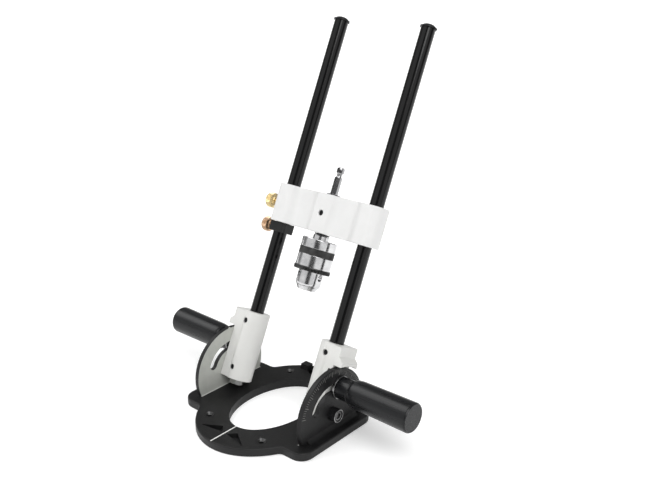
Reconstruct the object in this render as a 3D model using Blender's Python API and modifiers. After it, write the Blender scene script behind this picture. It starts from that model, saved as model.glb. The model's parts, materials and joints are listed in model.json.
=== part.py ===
"""A portable drill guide: a slotted base carries a tilting two-rod mast with a sliding spindle carriage.

The frame is in metres with +Z up. X runs along the two side handles, the user stands at -Y, and the
origin is on the supporting surface, below the middle of the whole object's box. The mast leans back.
"""

import math

import bmesh
import bpy
from mathutils import Matrix, Vector

mm = 0.001

# Driving dimensions
GAP = 0.3 * mm
ROUND = 24
TILT = math.radians(25.3)
BASE_CENTRE_Y = -39.3 * mm

BASE_THICK = 8.2 * mm
RING_X = 66.7 * mm
RING_Y = 86.4 * mm
OPENING_X = 34.7 * mm
OPENING_Y = 54.0 * mm
FLANGE_X = 80.3 * mm
FLANGE_Y = 51.0 * mm
FLANGE_CORNER = 13.0 * mm
FLANGE_FILLET = 6.0 * mm
SCREW_HOLE_X = 34.7 * mm
SCREW_HOLE_Y = 56.0 * mm
POCKET_DEPTH = 4.5 * mm
REAR_LUG_LOW = (21.0 * mm, 67.0 * mm)
REAR_LUG_HIGH = (30.5 * mm, 76.5 * mm)
REAR_LUG_HEIGHT = 5.0 * mm
REAR_LUG_LEAN = 2.0 * mm

CHEEK_INNER_X = 65.0 * mm
CHEEK_THICK = 4.5 * mm
CHEEK_RADIUS = 43.4 * mm
LUG_HEIGHT = 1.8 * mm
PIVOT_Y = 1.3 * mm
PIVOT_Z = 24.3 * mm
SLOT_RADIUS = 25.1 * mm
SLOT_WIDTH = 8.6 * mm
SLOT_HALF_ANGLE = math.radians(65.5)

ROD_X = 52.2 * mm
ROD_RADIUS = 7.0 * mm
ROD_BOTTOM = -2.1 * mm
ROD_TOP = 369.6 * mm
CLIP_Z = 366.1 * mm
CLIP_THICK = 1.2 * mm
CLIP_MOUTH_TURN = math.radians(-50)

BRACKET_BOTTOM = -7.5 * mm
BRACKET_TOP = 61.8 * mm
BRACKET_OUTER_X = CHEEK_INNER_X - GAP
BOSS_RADIUS = 14.0 * mm
FLANGE_HALF_DEPTH = 12.8 * mm
LIP_OUTER_X = 73.5 * mm
LIP_REACH = 45.6 * mm
LIP_TOP = 48.0 * mm
COLLAR_OUTER_X = 68.4 * mm
COLLAR_START_Z = 52.5 * mm
SET_SCREW_Z = (4.0 * mm, 52.0 * mm)
SET_SCREW_RADIUS = 2.5 * mm
SET_SCREW_DEPTH = 1.4 * mm
SOCKET_RADIUS = 1.5 * mm
SOCKET_DEPTH = 1.7 * mm
FASTENER_RADIUS = 4.0 * mm
BOLT_HEAD_FLATS = 13.0 * mm
BOLT_HEAD_HEIGHT = 5.3 * mm
PIVOT_HEAD_RADIUS = 6.5 * mm
PIVOT_HEAD_LENGTH = 8.0 * mm
BRACKET_HOLE_END = 60.9 * mm

GRIP_END_X = 151.9 * mm
GRIP_START_X = 86.0 * mm
GRIP_RADIUS = 13.9 * mm
COLLAR_START_X = 72.0 * mm
COLLAR_RADIUS = 10.6 * mm
HANDLE_WASHER_RADIUS = 11.2 * mm
HANDLE_Z = SLOT_RADIUS

CARRIAGE_BOTTOM = 155.3 * mm
CARRIAGE_TOP = 193.5 * mm
CARRIAGE_END_X = 63.7 * mm
CARRIAGE_HALF_DEPTH = 12.0 * mm
WEB_HALF_DEPTH = 7.2 * mm
ROD_BUSH_RADIUS = 9.4 * mm
SHAFT_RADIUS = 5.0 * mm
SPINDLE_BUSH_RADIUS = 8.0 * mm

STOP_BOTTOM = 145.2 * mm
STOP_TOP = 155.0 * mm
STOP_HALF_X = 10.3 * mm
STOP_HALF_Y = 9.0 * mm

CHUCK_MOUTH = 99.1 * mm
CHUCK_TOP = 153.4 * mm
SLEEVE_BOTTOM = 117.5 * mm
SLEEVE_TOP = 149.1 * mm
SLEEVE_RADIUS = 17.25 * mm
NOSE_RADIUS = 12.35 * mm
JAW_RADIUS = 2.9 * mm
JAW_ANGLE = math.radians(14.0)
JAW_LENGTH = 17.5 * mm
JAW_MOUTH_OFFSET = 2.6 * mm
JAW_OPEN = 16.5 * mm
JAW_FIRST_ANGLE = math.radians(62)
KEY_HOLE_FIRST_ANGLE = math.radians(2)
KEY_HOLE_Z = SLEEVE_BOTTOM - 3.8 * mm
KEY_HOLE_RADIUS = 3.2 * mm
GEAR_RADIUS = 18.0 * mm
GEAR_HEIGHT = 4.0 * mm

BLACK_CAST = ("black_cast", (0.035, 0.035, 0.036), 0.55, 0.0)
WHITE_CAST = ("white_cast", (0.78, 0.78, 0.76), 0.45, 0.0)
BLACK_ROD = ("black_rod", (0.02, 0.02, 0.022), 0.18, 0.6)
GREY_GRIP = ("grey_grip", (0.05, 0.052, 0.055), 0.42, 0.0)
BRASS = ("brass", (0.72, 0.5, 0.2), 0.3, 1.0)
STEEL = ("steel", (0.62, 0.62, 0.63), 0.22, 1.0)
DARK_STEEL = ("dark_steel", (0.05, 0.05, 0.05), 0.35, 0.8)
BRONZE = ("bronze", (0.45, 0.28, 0.14), 0.4, 1.0)


# Scene, materials and small helpers


def clear_scene():
    for obj in list(bpy.data.objects):
        bpy.data.objects.remove(obj, do_unlink=True)


def new_collection(name):
    collection = bpy.data.collections.new(name)
    bpy.context.scene.collection.children.link(collection)
    return collection


def material(spec):
    """The shared finish, copied once for each part that uses it."""
    name, colour, roughness, metallic = spec
    made = bpy.data.materials.new(name)
    made.use_nodes = True
    shader = made.node_tree.nodes["Principled BSDF"]
    shader.inputs["Base Color"].default_value = (*colour, 1.0)
    shader.inputs["Roughness"].default_value = roughness
    shader.inputs["Metallic"].default_value = metallic
    made.diffuse_color = (*colour, 1.0)
    return made


def empty(name, location, rotation=(0, 0, 0), parent=None):
    axis = bpy.data.objects.new(name, None)
    axis.location = location
    axis.rotation_euler = rotation
    axis.parent = parent
    PARTS.objects.link(axis)
    return axis


def place(name, mesh, finish, parent, location=(0, 0, 0), rotation=(0, 0, 0)):
    """A part in the parts collection, shaded smooth except at its edges."""
    obj = bpy.data.objects.new(name, mesh)
    obj.location = location
    obj.rotation_euler = rotation
    obj.parent = parent
    mesh.materials.clear()
    mesh.materials.append(material(finish))
    mesh.shade_smooth()
    mesh.set_sharp_from_angle(angle=math.radians(35))
    PARTS.objects.link(obj)
    return obj


def place_cutter(name, mesh, parent, location=(0, 0, 0), rotation=(0, 0, 0)):
    """A hidden shape that a boolean cuts away or adds."""
    obj = bpy.data.objects.new(name, mesh)
    obj.location = location
    obj.rotation_euler = rotation
    obj.parent = parent
    obj.hide_render = True
    obj.display_type = "WIRE"
    CUTTERS.objects.link(obj)
    return obj


def boolean(obj, other, operation="DIFFERENCE"):
    modifier = obj.modifiers.new(f"{operation.lower()}_{other.name}", "BOOLEAN")
    modifier.operation = operation
    modifier.solver = "EXACT"
    modifier.object = other


def bmesh_to_mesh(bm, name):
    mesh = bpy.data.meshes.new(name)
    bm.to_mesh(mesh)
    bm.free()
    return mesh


def box_mesh(name, low, high):
    low, high = Vector(low), Vector(high)
    bm = bmesh.new()
    bmesh.ops.create_cube(bm, size=1.0)
    size = high - low
    bmesh.ops.scale(bm, vec=size, verts=bm.verts)
    bmesh.ops.translate(bm, vec=(low + high) / 2, verts=bm.verts)
    return bmesh_to_mesh(bm, name)


def cylinder_mesh(name, radius, low, high, sides=ROUND, top_radius=None):
    """A cylinder or cone about Z, from height low to height high."""
    bm = bmesh.new()
    bmesh.ops.create_cone(
        bm,
        cap_ends=True,
        segments=sides,
        radius1=radius,
        radius2=radius if top_radius is None else top_radius,
        depth=high - low,
    )
    bmesh.ops.translate(bm, vec=(0, 0, (low + high) / 2), verts=bm.verts)
    return bmesh_to_mesh(bm, name)


def turn(obj, steps=ROUND):
    """Turns the object's open or closed profile about Z into a closed solid."""
    screw = obj.modifiers.new("turn", "SCREW")
    screw.axis = "Z"
    screw.steps = steps
    screw.render_steps = steps
    screw.use_merge_vertices = True
    screw.merge_threshold = 0.00001
    screw.use_smooth_shade = True


def profile_mesh(name, points, closed):
    """(radius, height) points joined by edges, down the outer side from top to bottom."""
    mesh = bpy.data.meshes.new(name)
    count = len(points)
    edges = [(i, i + 1) for i in range(count - 1)]
    if closed:
        edges.append((count - 1, 0))
    mesh.from_pydata([(radius, 0, height) for radius, height in points], edges, [])
    return mesh


def turned(name, points, finish, parent, location=(0, 0, 0), rotation=(0, 0, 0), closed=False):
    obj = place(name, profile_mesh(name, points, closed), finish, parent, location, rotation)
    turn(obj)
    return obj


def ring(name, inner, outer, low, high, finish, parent, location=(0, 0, 0), rotation=(0, 0, 0)):
    points = [(outer, high), (outer, low), (inner, low), (inner, high)]
    return turned(name, points, finish, parent, location, rotation, closed=True)


def outline_mesh(name, outlines, thickness):
    """Closed flat outlines in XY, filled between one another and extruded about Z=0."""
    curve = bpy.data.curves.new(name, "CURVE")
    curve.dimensions = "2D"
    curve.fill_mode = "BOTH"
    curve.extrude = thickness / 2
    for outline in outlines:
        spline = curve.splines.new("POLY")
        spline.points.add(len(outline) - 1)
        for point, (x, y) in zip(spline.points, outline):
            point.co = (x, y, 0, 1)
        spline.use_cyclic_u = True
    source = bpy.data.objects.new(name, curve)
    bpy.context.scene.collection.objects.link(source)
    graph = bpy.context.evaluated_depsgraph_get()
    mesh = bpy.data.meshes.new_from_object(source.evaluated_get(graph))
    bpy.data.objects.remove(source)
    bm = bmesh.new()
    bm.from_mesh(mesh)
    bmesh.ops.remove_doubles(bm, verts=bm.verts, dist=0.001 * mm)
    if len(outlines) == 1:
        flat = math.radians(0.5)
        bmesh.ops.dissolve_limit(bm, angle_limit=flat, verts=bm.verts, edges=bm.edges)
    bmesh.ops.recalc_face_normals(bm, faces=bm.faces)
    bm.to_mesh(mesh)
    bm.free()
    return mesh


def arc(centre, radius, start, end, steps):
    """Points on an arc, angles in radians."""
    angles = [start + (end - start) * i / steps for i in range(steps + 1)]
    return [(centre[0] + radius * math.cos(a), centre[1] + radius * math.sin(a)) for a in angles]


def ellipse(half_x, half_y, start, end, steps):
    angles = [start + (end - start) * i / steps for i in range(steps + 1)]
    return [(half_x * math.cos(a), half_y * math.sin(a)) for a in angles]


def mirrored_outline(quarter):
    """The whole outline from its quarter, which runs from the +X side round to the +Y side."""
    half = quarter + [(-x, y) for x, y in reversed(quarter) if x > 0.001 * mm]
    return half + [(x, -y) for x, y in reversed(half) if y > 0.001 * mm]


def both_sides(make):
    """Runs make(side name, sign of X) for the left and the right of the machine."""
    for side, sign in (("left", -1), ("right", 1)):
        make(side, sign)


# Base


def fillet_centre():
    """Where a circle of FLANGE_FILLET touches the flange's Y edge and the ring from outside."""
    height = FLANGE_Y + FLANGE_FILLET
    low, high = 0.0, math.pi / 2
    for _ in range(60):
        angle = (low + high) / 2
        normal = Vector((math.cos(angle) / RING_X, math.sin(angle) / RING_Y)).normalized()
        centre = Vector((RING_X * math.cos(angle), RING_Y * math.sin(angle)))
        centre += normal * FLANGE_FILLET
        if centre.y < height:
            low = angle
        else:
            high = angle
    return centre, angle, math.atan2(-normal.y, -normal.x)


def base_outline():
    centre, ring_angle, touch = fillet_centre()
    corner = (FLANGE_X - FLANGE_CORNER, FLANGE_Y - FLANGE_CORNER)
    quarter = arc(corner, FLANGE_CORNER, 0, math.pi / 2, 6)
    quarter += arc(centre, FLANGE_FILLET, -math.pi / 2, touch, 4)
    quarter += ellipse(RING_X, RING_Y, ring_angle, math.pi / 2, 9)[1:]
    return mirrored_outline(quarter)


def cheek_outline():
    """The side cheek seen along X: an arc about the pivot, with an upright mark's lug on its top."""
    foot = math.asin((PIVOT_Z - BASE_THICK / 2) / CHEEK_RADIUS)
    lug_half = math.radians(2.2)
    points = arc((0, 0), CHEEK_RADIUS, -foot, math.pi / 2 - lug_half, 18)
    points += [(0, CHEEK_RADIUS + LUG_HEIGHT)]
    return points + arc((0, 0), CHEEK_RADIUS, math.pi / 2 + lug_half, math.pi + foot, 18)


def slot_outline():
    start = math.pi / 2 - SLOT_HALF_ANGLE
    end = math.pi / 2 + SLOT_HALF_ANGLE
    half = SLOT_WIDTH / 2
    first = (SLOT_RADIUS * math.cos(start), SLOT_RADIUS * math.sin(start))
    last = (SLOT_RADIUS * math.cos(end), SLOT_RADIUS * math.sin(end))
    points = arc((0, 0), SLOT_RADIUS + half, start, end, 22)
    points += arc(last, half, end, end + math.pi, 8)[1:-1]
    points += arc((0, 0), SLOT_RADIUS - half, end, start, 22)
    points += arc(first, half, start + math.pi, start + 2 * math.pi, 8)[1:-1]
    return points


def pocket_outline(sign_x, sign_y):
    """A three-cornered casting pocket beside the centre line of the ring."""
    corners = [(3.2, 68.8), (9.5, 61.5), (27.5, 73.0)]
    return [(sign_x * x * mm, sign_y * y * mm) for x, y in corners]


def make_base():
    parent = empty("base_frame", (0, BASE_CENTRE_Y, 0))
    opening = ellipse(OPENING_X, OPENING_Y, 0, 2 * math.pi, 56)[:-1]
    mesh = outline_mesh("base_casting", [base_outline(), opening], BASE_THICK)
    mesh.transform(Matrix.Translation((0, 0, BASE_THICK / 2)))
    base = place("base_casting", mesh, BLACK_CAST, parent)
    upright = Matrix.Rotation(math.pi / 2, 4, "Z") @ Matrix.Rotation(math.pi / 2, 4, "X")

    def add_cheek(side, sign):
        cheek = outline_mesh(f"cheek_{side}", [cheek_outline()], CHEEK_THICK)
        cheek.transform(upright)
        middle = sign * (CHEEK_INNER_X + CHEEK_THICK / 2)
        where = (middle, PIVOT_Y, PIVOT_Z)
        boolean(base, place_cutter(f"cheek_{side}", cheek, parent, where), "UNION")
        slot = outline_mesh(f"arc_slot_{side}", [slot_outline()], 3 * CHEEK_THICK)
        slot.transform(upright)
        boolean(base, place_cutter(f"arc_slot_{side}", slot, parent, where))
        hole = cylinder_mesh(f"pivot_hole_{side}", FASTENER_RADIUS + GAP, -CHEEK_THICK, CHEEK_THICK)
        turn_to_x = (0, math.pi / 2, 0)
        boolean(base, place_cutter(f"pivot_hole_{side}", hole, parent, where, turn_to_x))

    def add_screw_hole(name, x, y):
        profile = [(0, 1), (4.4, 1), (4.4, 0), (2.25, -2.6), (2.25, -9.2), (0, -9.2)]
        points = [(radius * mm, height * mm) for radius, height in profile]
        cutter = place_cutter(name, profile_mesh(name, points, False), parent, (x, y, BASE_THICK))
        turn(cutter, 20)
        boolean(base, cutter)

    both_sides(add_cheek)
    for i, sign_x in enumerate((-1, 1)):
        for j, sign_y in enumerate((-1, 1)):
            add_screw_hole(f"screw_hole_{i}{j}", sign_x * SCREW_HOLE_X, sign_y * SCREW_HOLE_Y)
            outline = pocket_outline(sign_x, sign_y)
            pocket = outline_mesh(f"pocket_{i}{j}", [outline], 2 * POCKET_DEPTH)
            boolean(base, place_cutter(f"pocket_{i}{j}", pocket, parent, (0, 0, BASE_THICK)))
    for side, sign in (("left", -1), ("right", 1)):
        near = (sign * REAR_LUG_LOW[0], REAR_LUG_LOW[1], BASE_THICK - 2 * mm)
        far = (sign * REAR_LUG_HIGH[0], REAR_LUG_HIGH[1], BASE_THICK + REAR_LUG_HEIGHT)
        low, high = (near, far) if sign > 0 else ((far[0], *near[1:]), (near[0], *far[1:]))
        lug = box_mesh(f"rear_lug_{side}", low, high)
        for vertex in lug.vertices:
            if vertex.co.z > BASE_THICK and vertex.co.y < near[1] + mm:
                vertex.co.y += REAR_LUG_LEAN
        boolean(base, place_cutter(f"rear_lug_{side}", lug, parent), "UNION")
    groove = box_mesh(
        "centre_line",
        (-0.7 * mm, -RING_Y - 2 * mm, BASE_THICK - 0.4 * mm),
        (0.7 * mm, -OPENING_Y + 2 * mm, BASE_THICK + 1 * mm),
    )
    boolean(base, place_cutter("centre_line", groove, parent))
    return base


# Mast


def bracket_mesh(name):
    """A round boss about the rod at X=0, spread into a block that reaches out to the lip on +X."""
    height = BRACKET_TOP - BRACKET_BOTTOM
    middle = (BRACKET_TOP + BRACKET_BOTTOM) / 2
    bm = bmesh.new()
    bmesh.ops.create_cone(
        bm,
        cap_ends=True,
        segments=ROUND,
        radius1=BOSS_RADIUS,
        radius2=BOSS_RADIUS,
        depth=height,
        matrix=Matrix.Translation((0, 0, middle)),
    )
    reach = LIP_OUTER_X - ROD_X
    block = bmesh.ops.create_cube(bm, size=1.0)["verts"]
    bmesh.ops.scale(bm, vec=(reach, 2 * FLANGE_HALF_DEPTH, height), verts=block)
    bmesh.ops.translate(bm, vec=(reach / 2, 0, middle), verts=block)
    bmesh.ops.delete(bm, geom=bm.edges[:] + bm.faces[:], context="EDGES_FACES")
    hull = bmesh.ops.convex_hull(bm, input=bm.verts)
    bmesh.ops.delete(bm, geom=hull["geom_interior"], context="VERTS")
    flat = math.radians(0.5)
    bmesh.ops.dissolve_limit(bm, angle_limit=flat, verts=bm.verts, edges=bm.edges)
    bmesh.ops.recalc_face_normals(bm, faces=bm.faces)
    return bmesh_to_mesh(bm, name)


def shoulder_mesh(name, sign):
    """Cuts the block's top back to the collar, down a slope that ends at the lip."""
    drop = (COLLAR_START_Z - LIP_TOP) / (LIP_OUTER_X - COLLAR_OUTER_X)
    beyond = LIP_OUTER_X + 8 * mm
    above = BRACKET_TOP + 5 * mm
    low = COLLAR_START_Z - drop * (beyond - COLLAR_OUTER_X)
    outline = [(COLLAR_OUTER_X, COLLAR_START_Z), (beyond, low), (beyond, above)]
    outline.append((COLLAR_OUTER_X, above))
    mesh = outline_mesh(name, [[(sign * x, z) for x, z in outline]], 2 * BOSS_RADIUS)
    mesh.transform(Matrix.Rotation(math.pi / 2, 4, "X"))
    return mesh


def make_bracket(side, sign):
    turn_round = (0, 0, 0) if sign > 0 else (0, 0, math.pi)
    to_side = (0, sign * math.pi / 2, 0)
    turn_to_front = (math.pi / 2, 0, 0)
    where = (sign * ROD_X, 0, 0)
    mesh = bracket_mesh(f"{side}_bracket")
    bracket = place(f"{side}_bracket", mesh, WHITE_CAST, MAST, where, turn_round)

    sweep = cylinder_mesh(f"{side}_sweep", LIP_REACH, BRACKET_OUTER_X, LIP_OUTER_X + 5 * mm, 48)
    boolean(bracket, place_cutter(f"{side}_sweep", sweep, MAST, rotation=to_side))
    shoulder = shoulder_mesh(f"{side}_shoulder", sign)
    boolean(bracket, place_cutter(f"{side}_shoulder", shoulder, MAST))
    bore = cylinder_mesh(f"{side}_bore", ROD_RADIUS + GAP, ROD_BOTTOM - GAP, BRACKET_TOP + mm)
    boolean(bracket, place_cutter(f"{side}_bore", bore, MAST, where))
    floor = cylinder_mesh(f"{side}_floor_hole", FASTENER_RADIUS + GAP, BRACKET_BOTTOM - mm, 0, 24)
    boolean(bracket, place_cutter(f"{side}_floor_hole", floor, MAST, where))
    for i, z in enumerate(SET_SCREW_Z):
        name = f"{side}_set_hole_{i}"
        hole = cylinder_mesh(name, SET_SCREW_RADIUS + GAP, 0, BOSS_RADIUS + 2 * mm, 20)
        at = (sign * ROD_X, 0, z)
        boolean(bracket, place_cutter(name, hole, MAST, at, turn_to_front))
    for label, z in (("pivot", 0.0), ("handle", HANDLE_Z)):
        name = f"{side}_{label}_hole"
        hole = cylinder_mesh(name, FASTENER_RADIUS + GAP, BRACKET_HOLE_END, 70 * mm, 24)
        boolean(bracket, place_cutter(name, hole, MAST, (0, 0, z), to_side))


def make_set_screws(side, sign):
    end = BOSS_RADIUS - SET_SCREW_DEPTH
    for label, z in zip(("lower", "upper"), SET_SCREW_Z):
        name = f"{side}_{label}_set_screw"
        screw = place(
            name,
            cylinder_mesh(name, SET_SCREW_RADIUS, ROD_RADIUS + 2 * GAP, end, 20),
            DARK_STEEL,
            MAST,
            (sign * ROD_X, 0, z),
            (math.pi / 2, 0, 0),
        )
        socket = cylinder_mesh(f"{name}_socket", SOCKET_RADIUS, end - SOCKET_DEPTH, end + mm, 6)
        cutter = place_cutter(
            f"{name}_socket", socket, MAST, (sign * ROD_X, 0, z), (math.pi / 2, 0, 0)
        )
        boolean(screw, cutter)


def make_rod(side, sign):
    where = (sign * ROD_X, 0, 0)
    groove_half = CLIP_THICK / 2 + GAP
    chamfer = 1.2 * mm
    points = [
        (0, ROD_TOP),
        (ROD_RADIUS - 2.6 * mm, ROD_TOP - 0.3 * mm),
        (ROD_RADIUS - chamfer, ROD_TOP - 1.0 * mm),
        (ROD_RADIUS, ROD_TOP - 2.2 * mm),
        (ROD_RADIUS, CLIP_Z + groove_half),
        (ROD_RADIUS - 0.8 * mm, CLIP_Z + groove_half),
        (ROD_RADIUS - 0.8 * mm, CLIP_Z - groove_half),
        (ROD_RADIUS, CLIP_Z - groove_half),
        (ROD_RADIUS, ROD_BOTTOM + mm),
        (ROD_RADIUS - mm, ROD_BOTTOM),
        (FASTENER_RADIUS + GAP, ROD_BOTTOM),
        (FASTENER_RADIUS + GAP, 14 * mm),
        (0, 16 * mm),
    ]
    turned(f"{side}_rod", points, BLACK_ROD, MAST, where)
    low, high = CLIP_Z - CLIP_THICK / 2, CLIP_Z + CLIP_THICK / 2
    inner = ROD_RADIUS - 0.8 * mm + GAP
    clip = ring(f"{side}_rod_clip", inner, 8.3 * mm, low, high, DARK_STEEL, MAST, where)
    mouth = box_mesh(
        f"{side}_clip_mouth", (-2.2 * mm, 0, low - mm), (2.2 * mm, 12 * mm, high + mm)
    )
    boolean(clip, place_cutter(f"{side}_clip_mouth", mouth, MAST, where, (0, 0, CLIP_MOUTH_TURN)))


def make_rod_bolt(side, sign):
    where = (sign * ROD_X, 0, 0)
    head_top = BRACKET_BOTTOM - GAP
    corner_radius = BOLT_HEAD_FLATS / math.cos(math.pi / 6) / 2
    name = f"{side}_rod_bolt"
    bolt = place(
        name,
        cylinder_mesh(name, corner_radius, head_top - BOLT_HEAD_HEIGHT, head_top, 6),
        STEEL,
        MAST,
        where,
    )
    shank = cylinder_mesh(f"{name}_shank", FASTENER_RADIUS, head_top - 2 * mm, 11 * mm, 24)
    boolean(bolt, place_cutter(f"{name}_shank", shank, MAST, where), "UNION")


def make_pivot_screw(side, sign):
    """A socket-head screw through the cheek, with its tip in the bracket."""
    start = CHEEK_INNER_X + CHEEK_THICK + GAP
    head_end = start + PIVOT_HEAD_LENGTH
    chamfer = 0.6 * mm
    points = [
        (0, head_end - 4 * mm),
        (3.1 * mm, head_end - 4 * mm),
        (3.1 * mm, head_end),
        (PIVOT_HEAD_RADIUS - chamfer, head_end),
        (PIVOT_HEAD_RADIUS, head_end - chamfer),
        (PIVOT_HEAD_RADIUS, start),
        (FASTENER_RADIUS, start),
        (FASTENER_RADIUS, BRACKET_HOLE_END + GAP),
        (0, BRACKET_HOLE_END + GAP),
    ]
    to_side = (0, sign * math.pi / 2, 0)
    turned(f"{side}_pivot_screw", points, DARK_STEEL, MAST, rotation=to_side)


def make_handle(side, sign):
    axis = empty(f"{side}_handle_axis", (0, 0, HANDLE_Z), (0, sign * math.pi / 2, 0), MAST)
    stud_hole = FASTENER_RADIUS + GAP
    grip = [
        (0, GRIP_END_X),
        (GRIP_RADIUS - 1.3 * mm, GRIP_END_X),
        (GRIP_RADIUS, GRIP_END_X - 1.6 * mm),
        (GRIP_RADIUS - 0.6 * mm, GRIP_START_X + 6 * mm),
        (GRIP_RADIUS - 1.2 * mm, GRIP_START_X + 2 * mm),
        (COLLAR_RADIUS + 0.9 * mm, GRIP_START_X),
        (COLLAR_RADIUS, GRIP_START_X - 0.4 * mm),
        (COLLAR_RADIUS, COLLAR_START_X + 0.6 * mm),
        (COLLAR_RADIUS - 0.5 * mm, COLLAR_START_X),
        (stud_hole, COLLAR_START_X),
        (stud_hole, 101 * mm),
        (0, 103 * mm),
    ]
    turned(f"{side}_handle_grip", grip, GREY_GRIP, axis)
    stud = [
        (0, 100 * mm),
        (FASTENER_RADIUS, 100 * mm),
        (FASTENER_RADIUS, BRACKET_HOLE_END + GAP),
        (0, BRACKET_HOLE_END + GAP),
    ]
    turned(f"{side}_handle_stud", stud, DARK_STEEL, axis)
    face = CHEEK_INNER_X + CHEEK_THICK + GAP
    washer = (stud_hole, HANDLE_WASHER_RADIUS, face, COLLAR_START_X - GAP)
    ring(f"{side}_handle_washer", *washer, DARK_STEEL, axis)


# Carriage, its bushes and its stop


def carriage_outline():
    """The carriage seen along the mast: two rod bosses and a spindle boss joined by a web."""
    deep, thin, end = CARRIAGE_HALF_DEPTH, WEB_HALF_DEPTH, CARRIAGE_END_X
    quarter = [
        (end, deep - 5.2 * mm),
        (end - 5.2 * mm, deep),
        (46.0 * mm, deep),
        (41.0 * mm, deep - 1.6 * mm),
        (35.5 * mm, thin),
        (22.0 * mm, thin + 0.6 * mm),
        (15.5 * mm, thin + 1.5 * mm),
        (12.0 * mm, deep - 1.9 * mm),
        (9.5 * mm, deep),
    ]
    return mirrored_outline(quarter)


def make_carriage():
    height = CARRIAGE_TOP - CARRIAGE_BOTTOM
    middle = (CARRIAGE_TOP + CARRIAGE_BOTTOM) / 2
    mesh = outline_mesh("carriage_block", [carriage_outline()], height)
    block = place("carriage_block", mesh, WHITE_CAST, MAST, (0, 0, middle))

    def bore(name, x, radius):
        hole = cylinder_mesh(name, radius, -height, height)
        boolean(block, place_cutter(name, hole, MAST, (x, 0, middle)))

    bore("left_rod_way", -ROD_X, ROD_BUSH_RADIUS + GAP)
    bore("right_rod_way", ROD_X, ROD_BUSH_RADIUS + GAP)
    bore("spindle_way", 0, SPINDLE_BUSH_RADIUS + GAP)
    front = cylinder_mesh("front_screw_hole", SET_SCREW_RADIUS + GAP, 0, 20 * mm, 20)
    turn_to_front = (math.pi / 2, 0, 0)
    at = (0, 0, middle)
    boolean(block, place_cutter("front_screw_hole", front, MAST, at, turn_to_front))
    side_hole = cylinder_mesh("side_screw_hole", 2.5 * mm + GAP, ROD_X, 70 * mm, 20)
    turn_left = (0, -math.pi / 2, 0)
    boolean(block, place_cutter("side_screw_hole", side_hole, MAST, at, turn_left))

    name = "carriage_set_screw"
    inner = SPINDLE_BUSH_RADIUS + 2 * GAP
    end = CARRIAGE_HALF_DEPTH - mm
    screw_mesh = cylinder_mesh(name, SET_SCREW_RADIUS, inner, end, 20)
    screw = place(name, screw_mesh, DARK_STEEL, MAST, at, turn_to_front)
    socket = cylinder_mesh(f"{name}_socket", SOCKET_RADIUS, end - SOCKET_DEPTH, end + mm, 6)
    boolean(screw, place_cutter(f"{name}_socket", socket, MAST, at, turn_to_front))


def make_rod_bushes(side, sign):
    """Two plain bushes in each rod boss. The clamp screw's tip enters between them."""
    bush_length = 14 * mm
    ends = (("lower", CARRIAGE_BOTTOM + mm), ("upper", CARRIAGE_TOP - mm - bush_length))
    for label, low in ends:
        size = (ROD_RADIUS + 1.4 * GAP, ROD_BUSH_RADIUS, low, low + bush_length)
        ring(f"{side}_{label}_rod_bush", *size, BRONZE, MAST, (sign * ROD_X, 0, 0))


def make_spindle_bushes():
    bush_length = 13 * mm
    ends = (("lower", CARRIAGE_BOTTOM + mm), ("upper", CARRIAGE_TOP - mm - bush_length))
    for label, low in ends:
        size = (SHAFT_RADIUS + 1.4 * GAP, SPINDLE_BUSH_RADIUS, low, low + bush_length)
        ring(f"{label}_spindle_bush", *size, BRONZE, MAST)


def thumb_screw(name, z, head_start, radius):
    """A knurled brass screw whose shank runs along X to the left rod."""
    shank = 2.5 * mm
    head_end = head_start + 11 * mm
    points = [
        (0, head_end),
        (radius - 3 * mm, head_end),
        (radius - 0.8 * mm, head_end - 1.3 * mm),
        (radius, head_end - 3 * mm),
        (radius, head_start + 3 * mm),
        (radius - 1.2 * mm, head_start + 2 * mm),
        (5.0 * mm, head_start + 1.6 * mm),
        (5.0 * mm, head_start),
        (shank, head_start),
        (shank, ROD_X + ROD_RADIUS + 2 * GAP),
        (0, ROD_X + ROD_RADIUS + 2 * GAP),
    ]
    turned(name, points, BRASS, MAST, (0, 0, z), (0, -math.pi / 2, 0))


def make_stop():
    middle = (STOP_TOP + STOP_BOTTOM) / 2
    cut = 2.4 * mm
    quarter = [
        (STOP_HALF_X, STOP_HALF_Y - cut),
        (STOP_HALF_X - cut, STOP_HALF_Y),
    ]
    mesh = outline_mesh("depth_stop", [mirrored_outline(quarter)], STOP_TOP - STOP_BOTTOM)
    where = (-ROD_X, 0, middle)
    block = place("depth_stop", mesh, BLACK_CAST, MAST, where)
    way = cylinder_mesh("stop_rod_way", ROD_RADIUS + 1.4 * GAP, -10 * mm, 10 * mm)
    boolean(block, place_cutter("stop_rod_way", way, MAST, where))
    hole = cylinder_mesh("stop_screw_hole", 2.5 * mm + GAP, 0, 20 * mm, 20)
    boolean(block, place_cutter("stop_screw_hole", hole, MAST, where, (0, -math.pi / 2, 0)))


# Spindle and chuck


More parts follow.
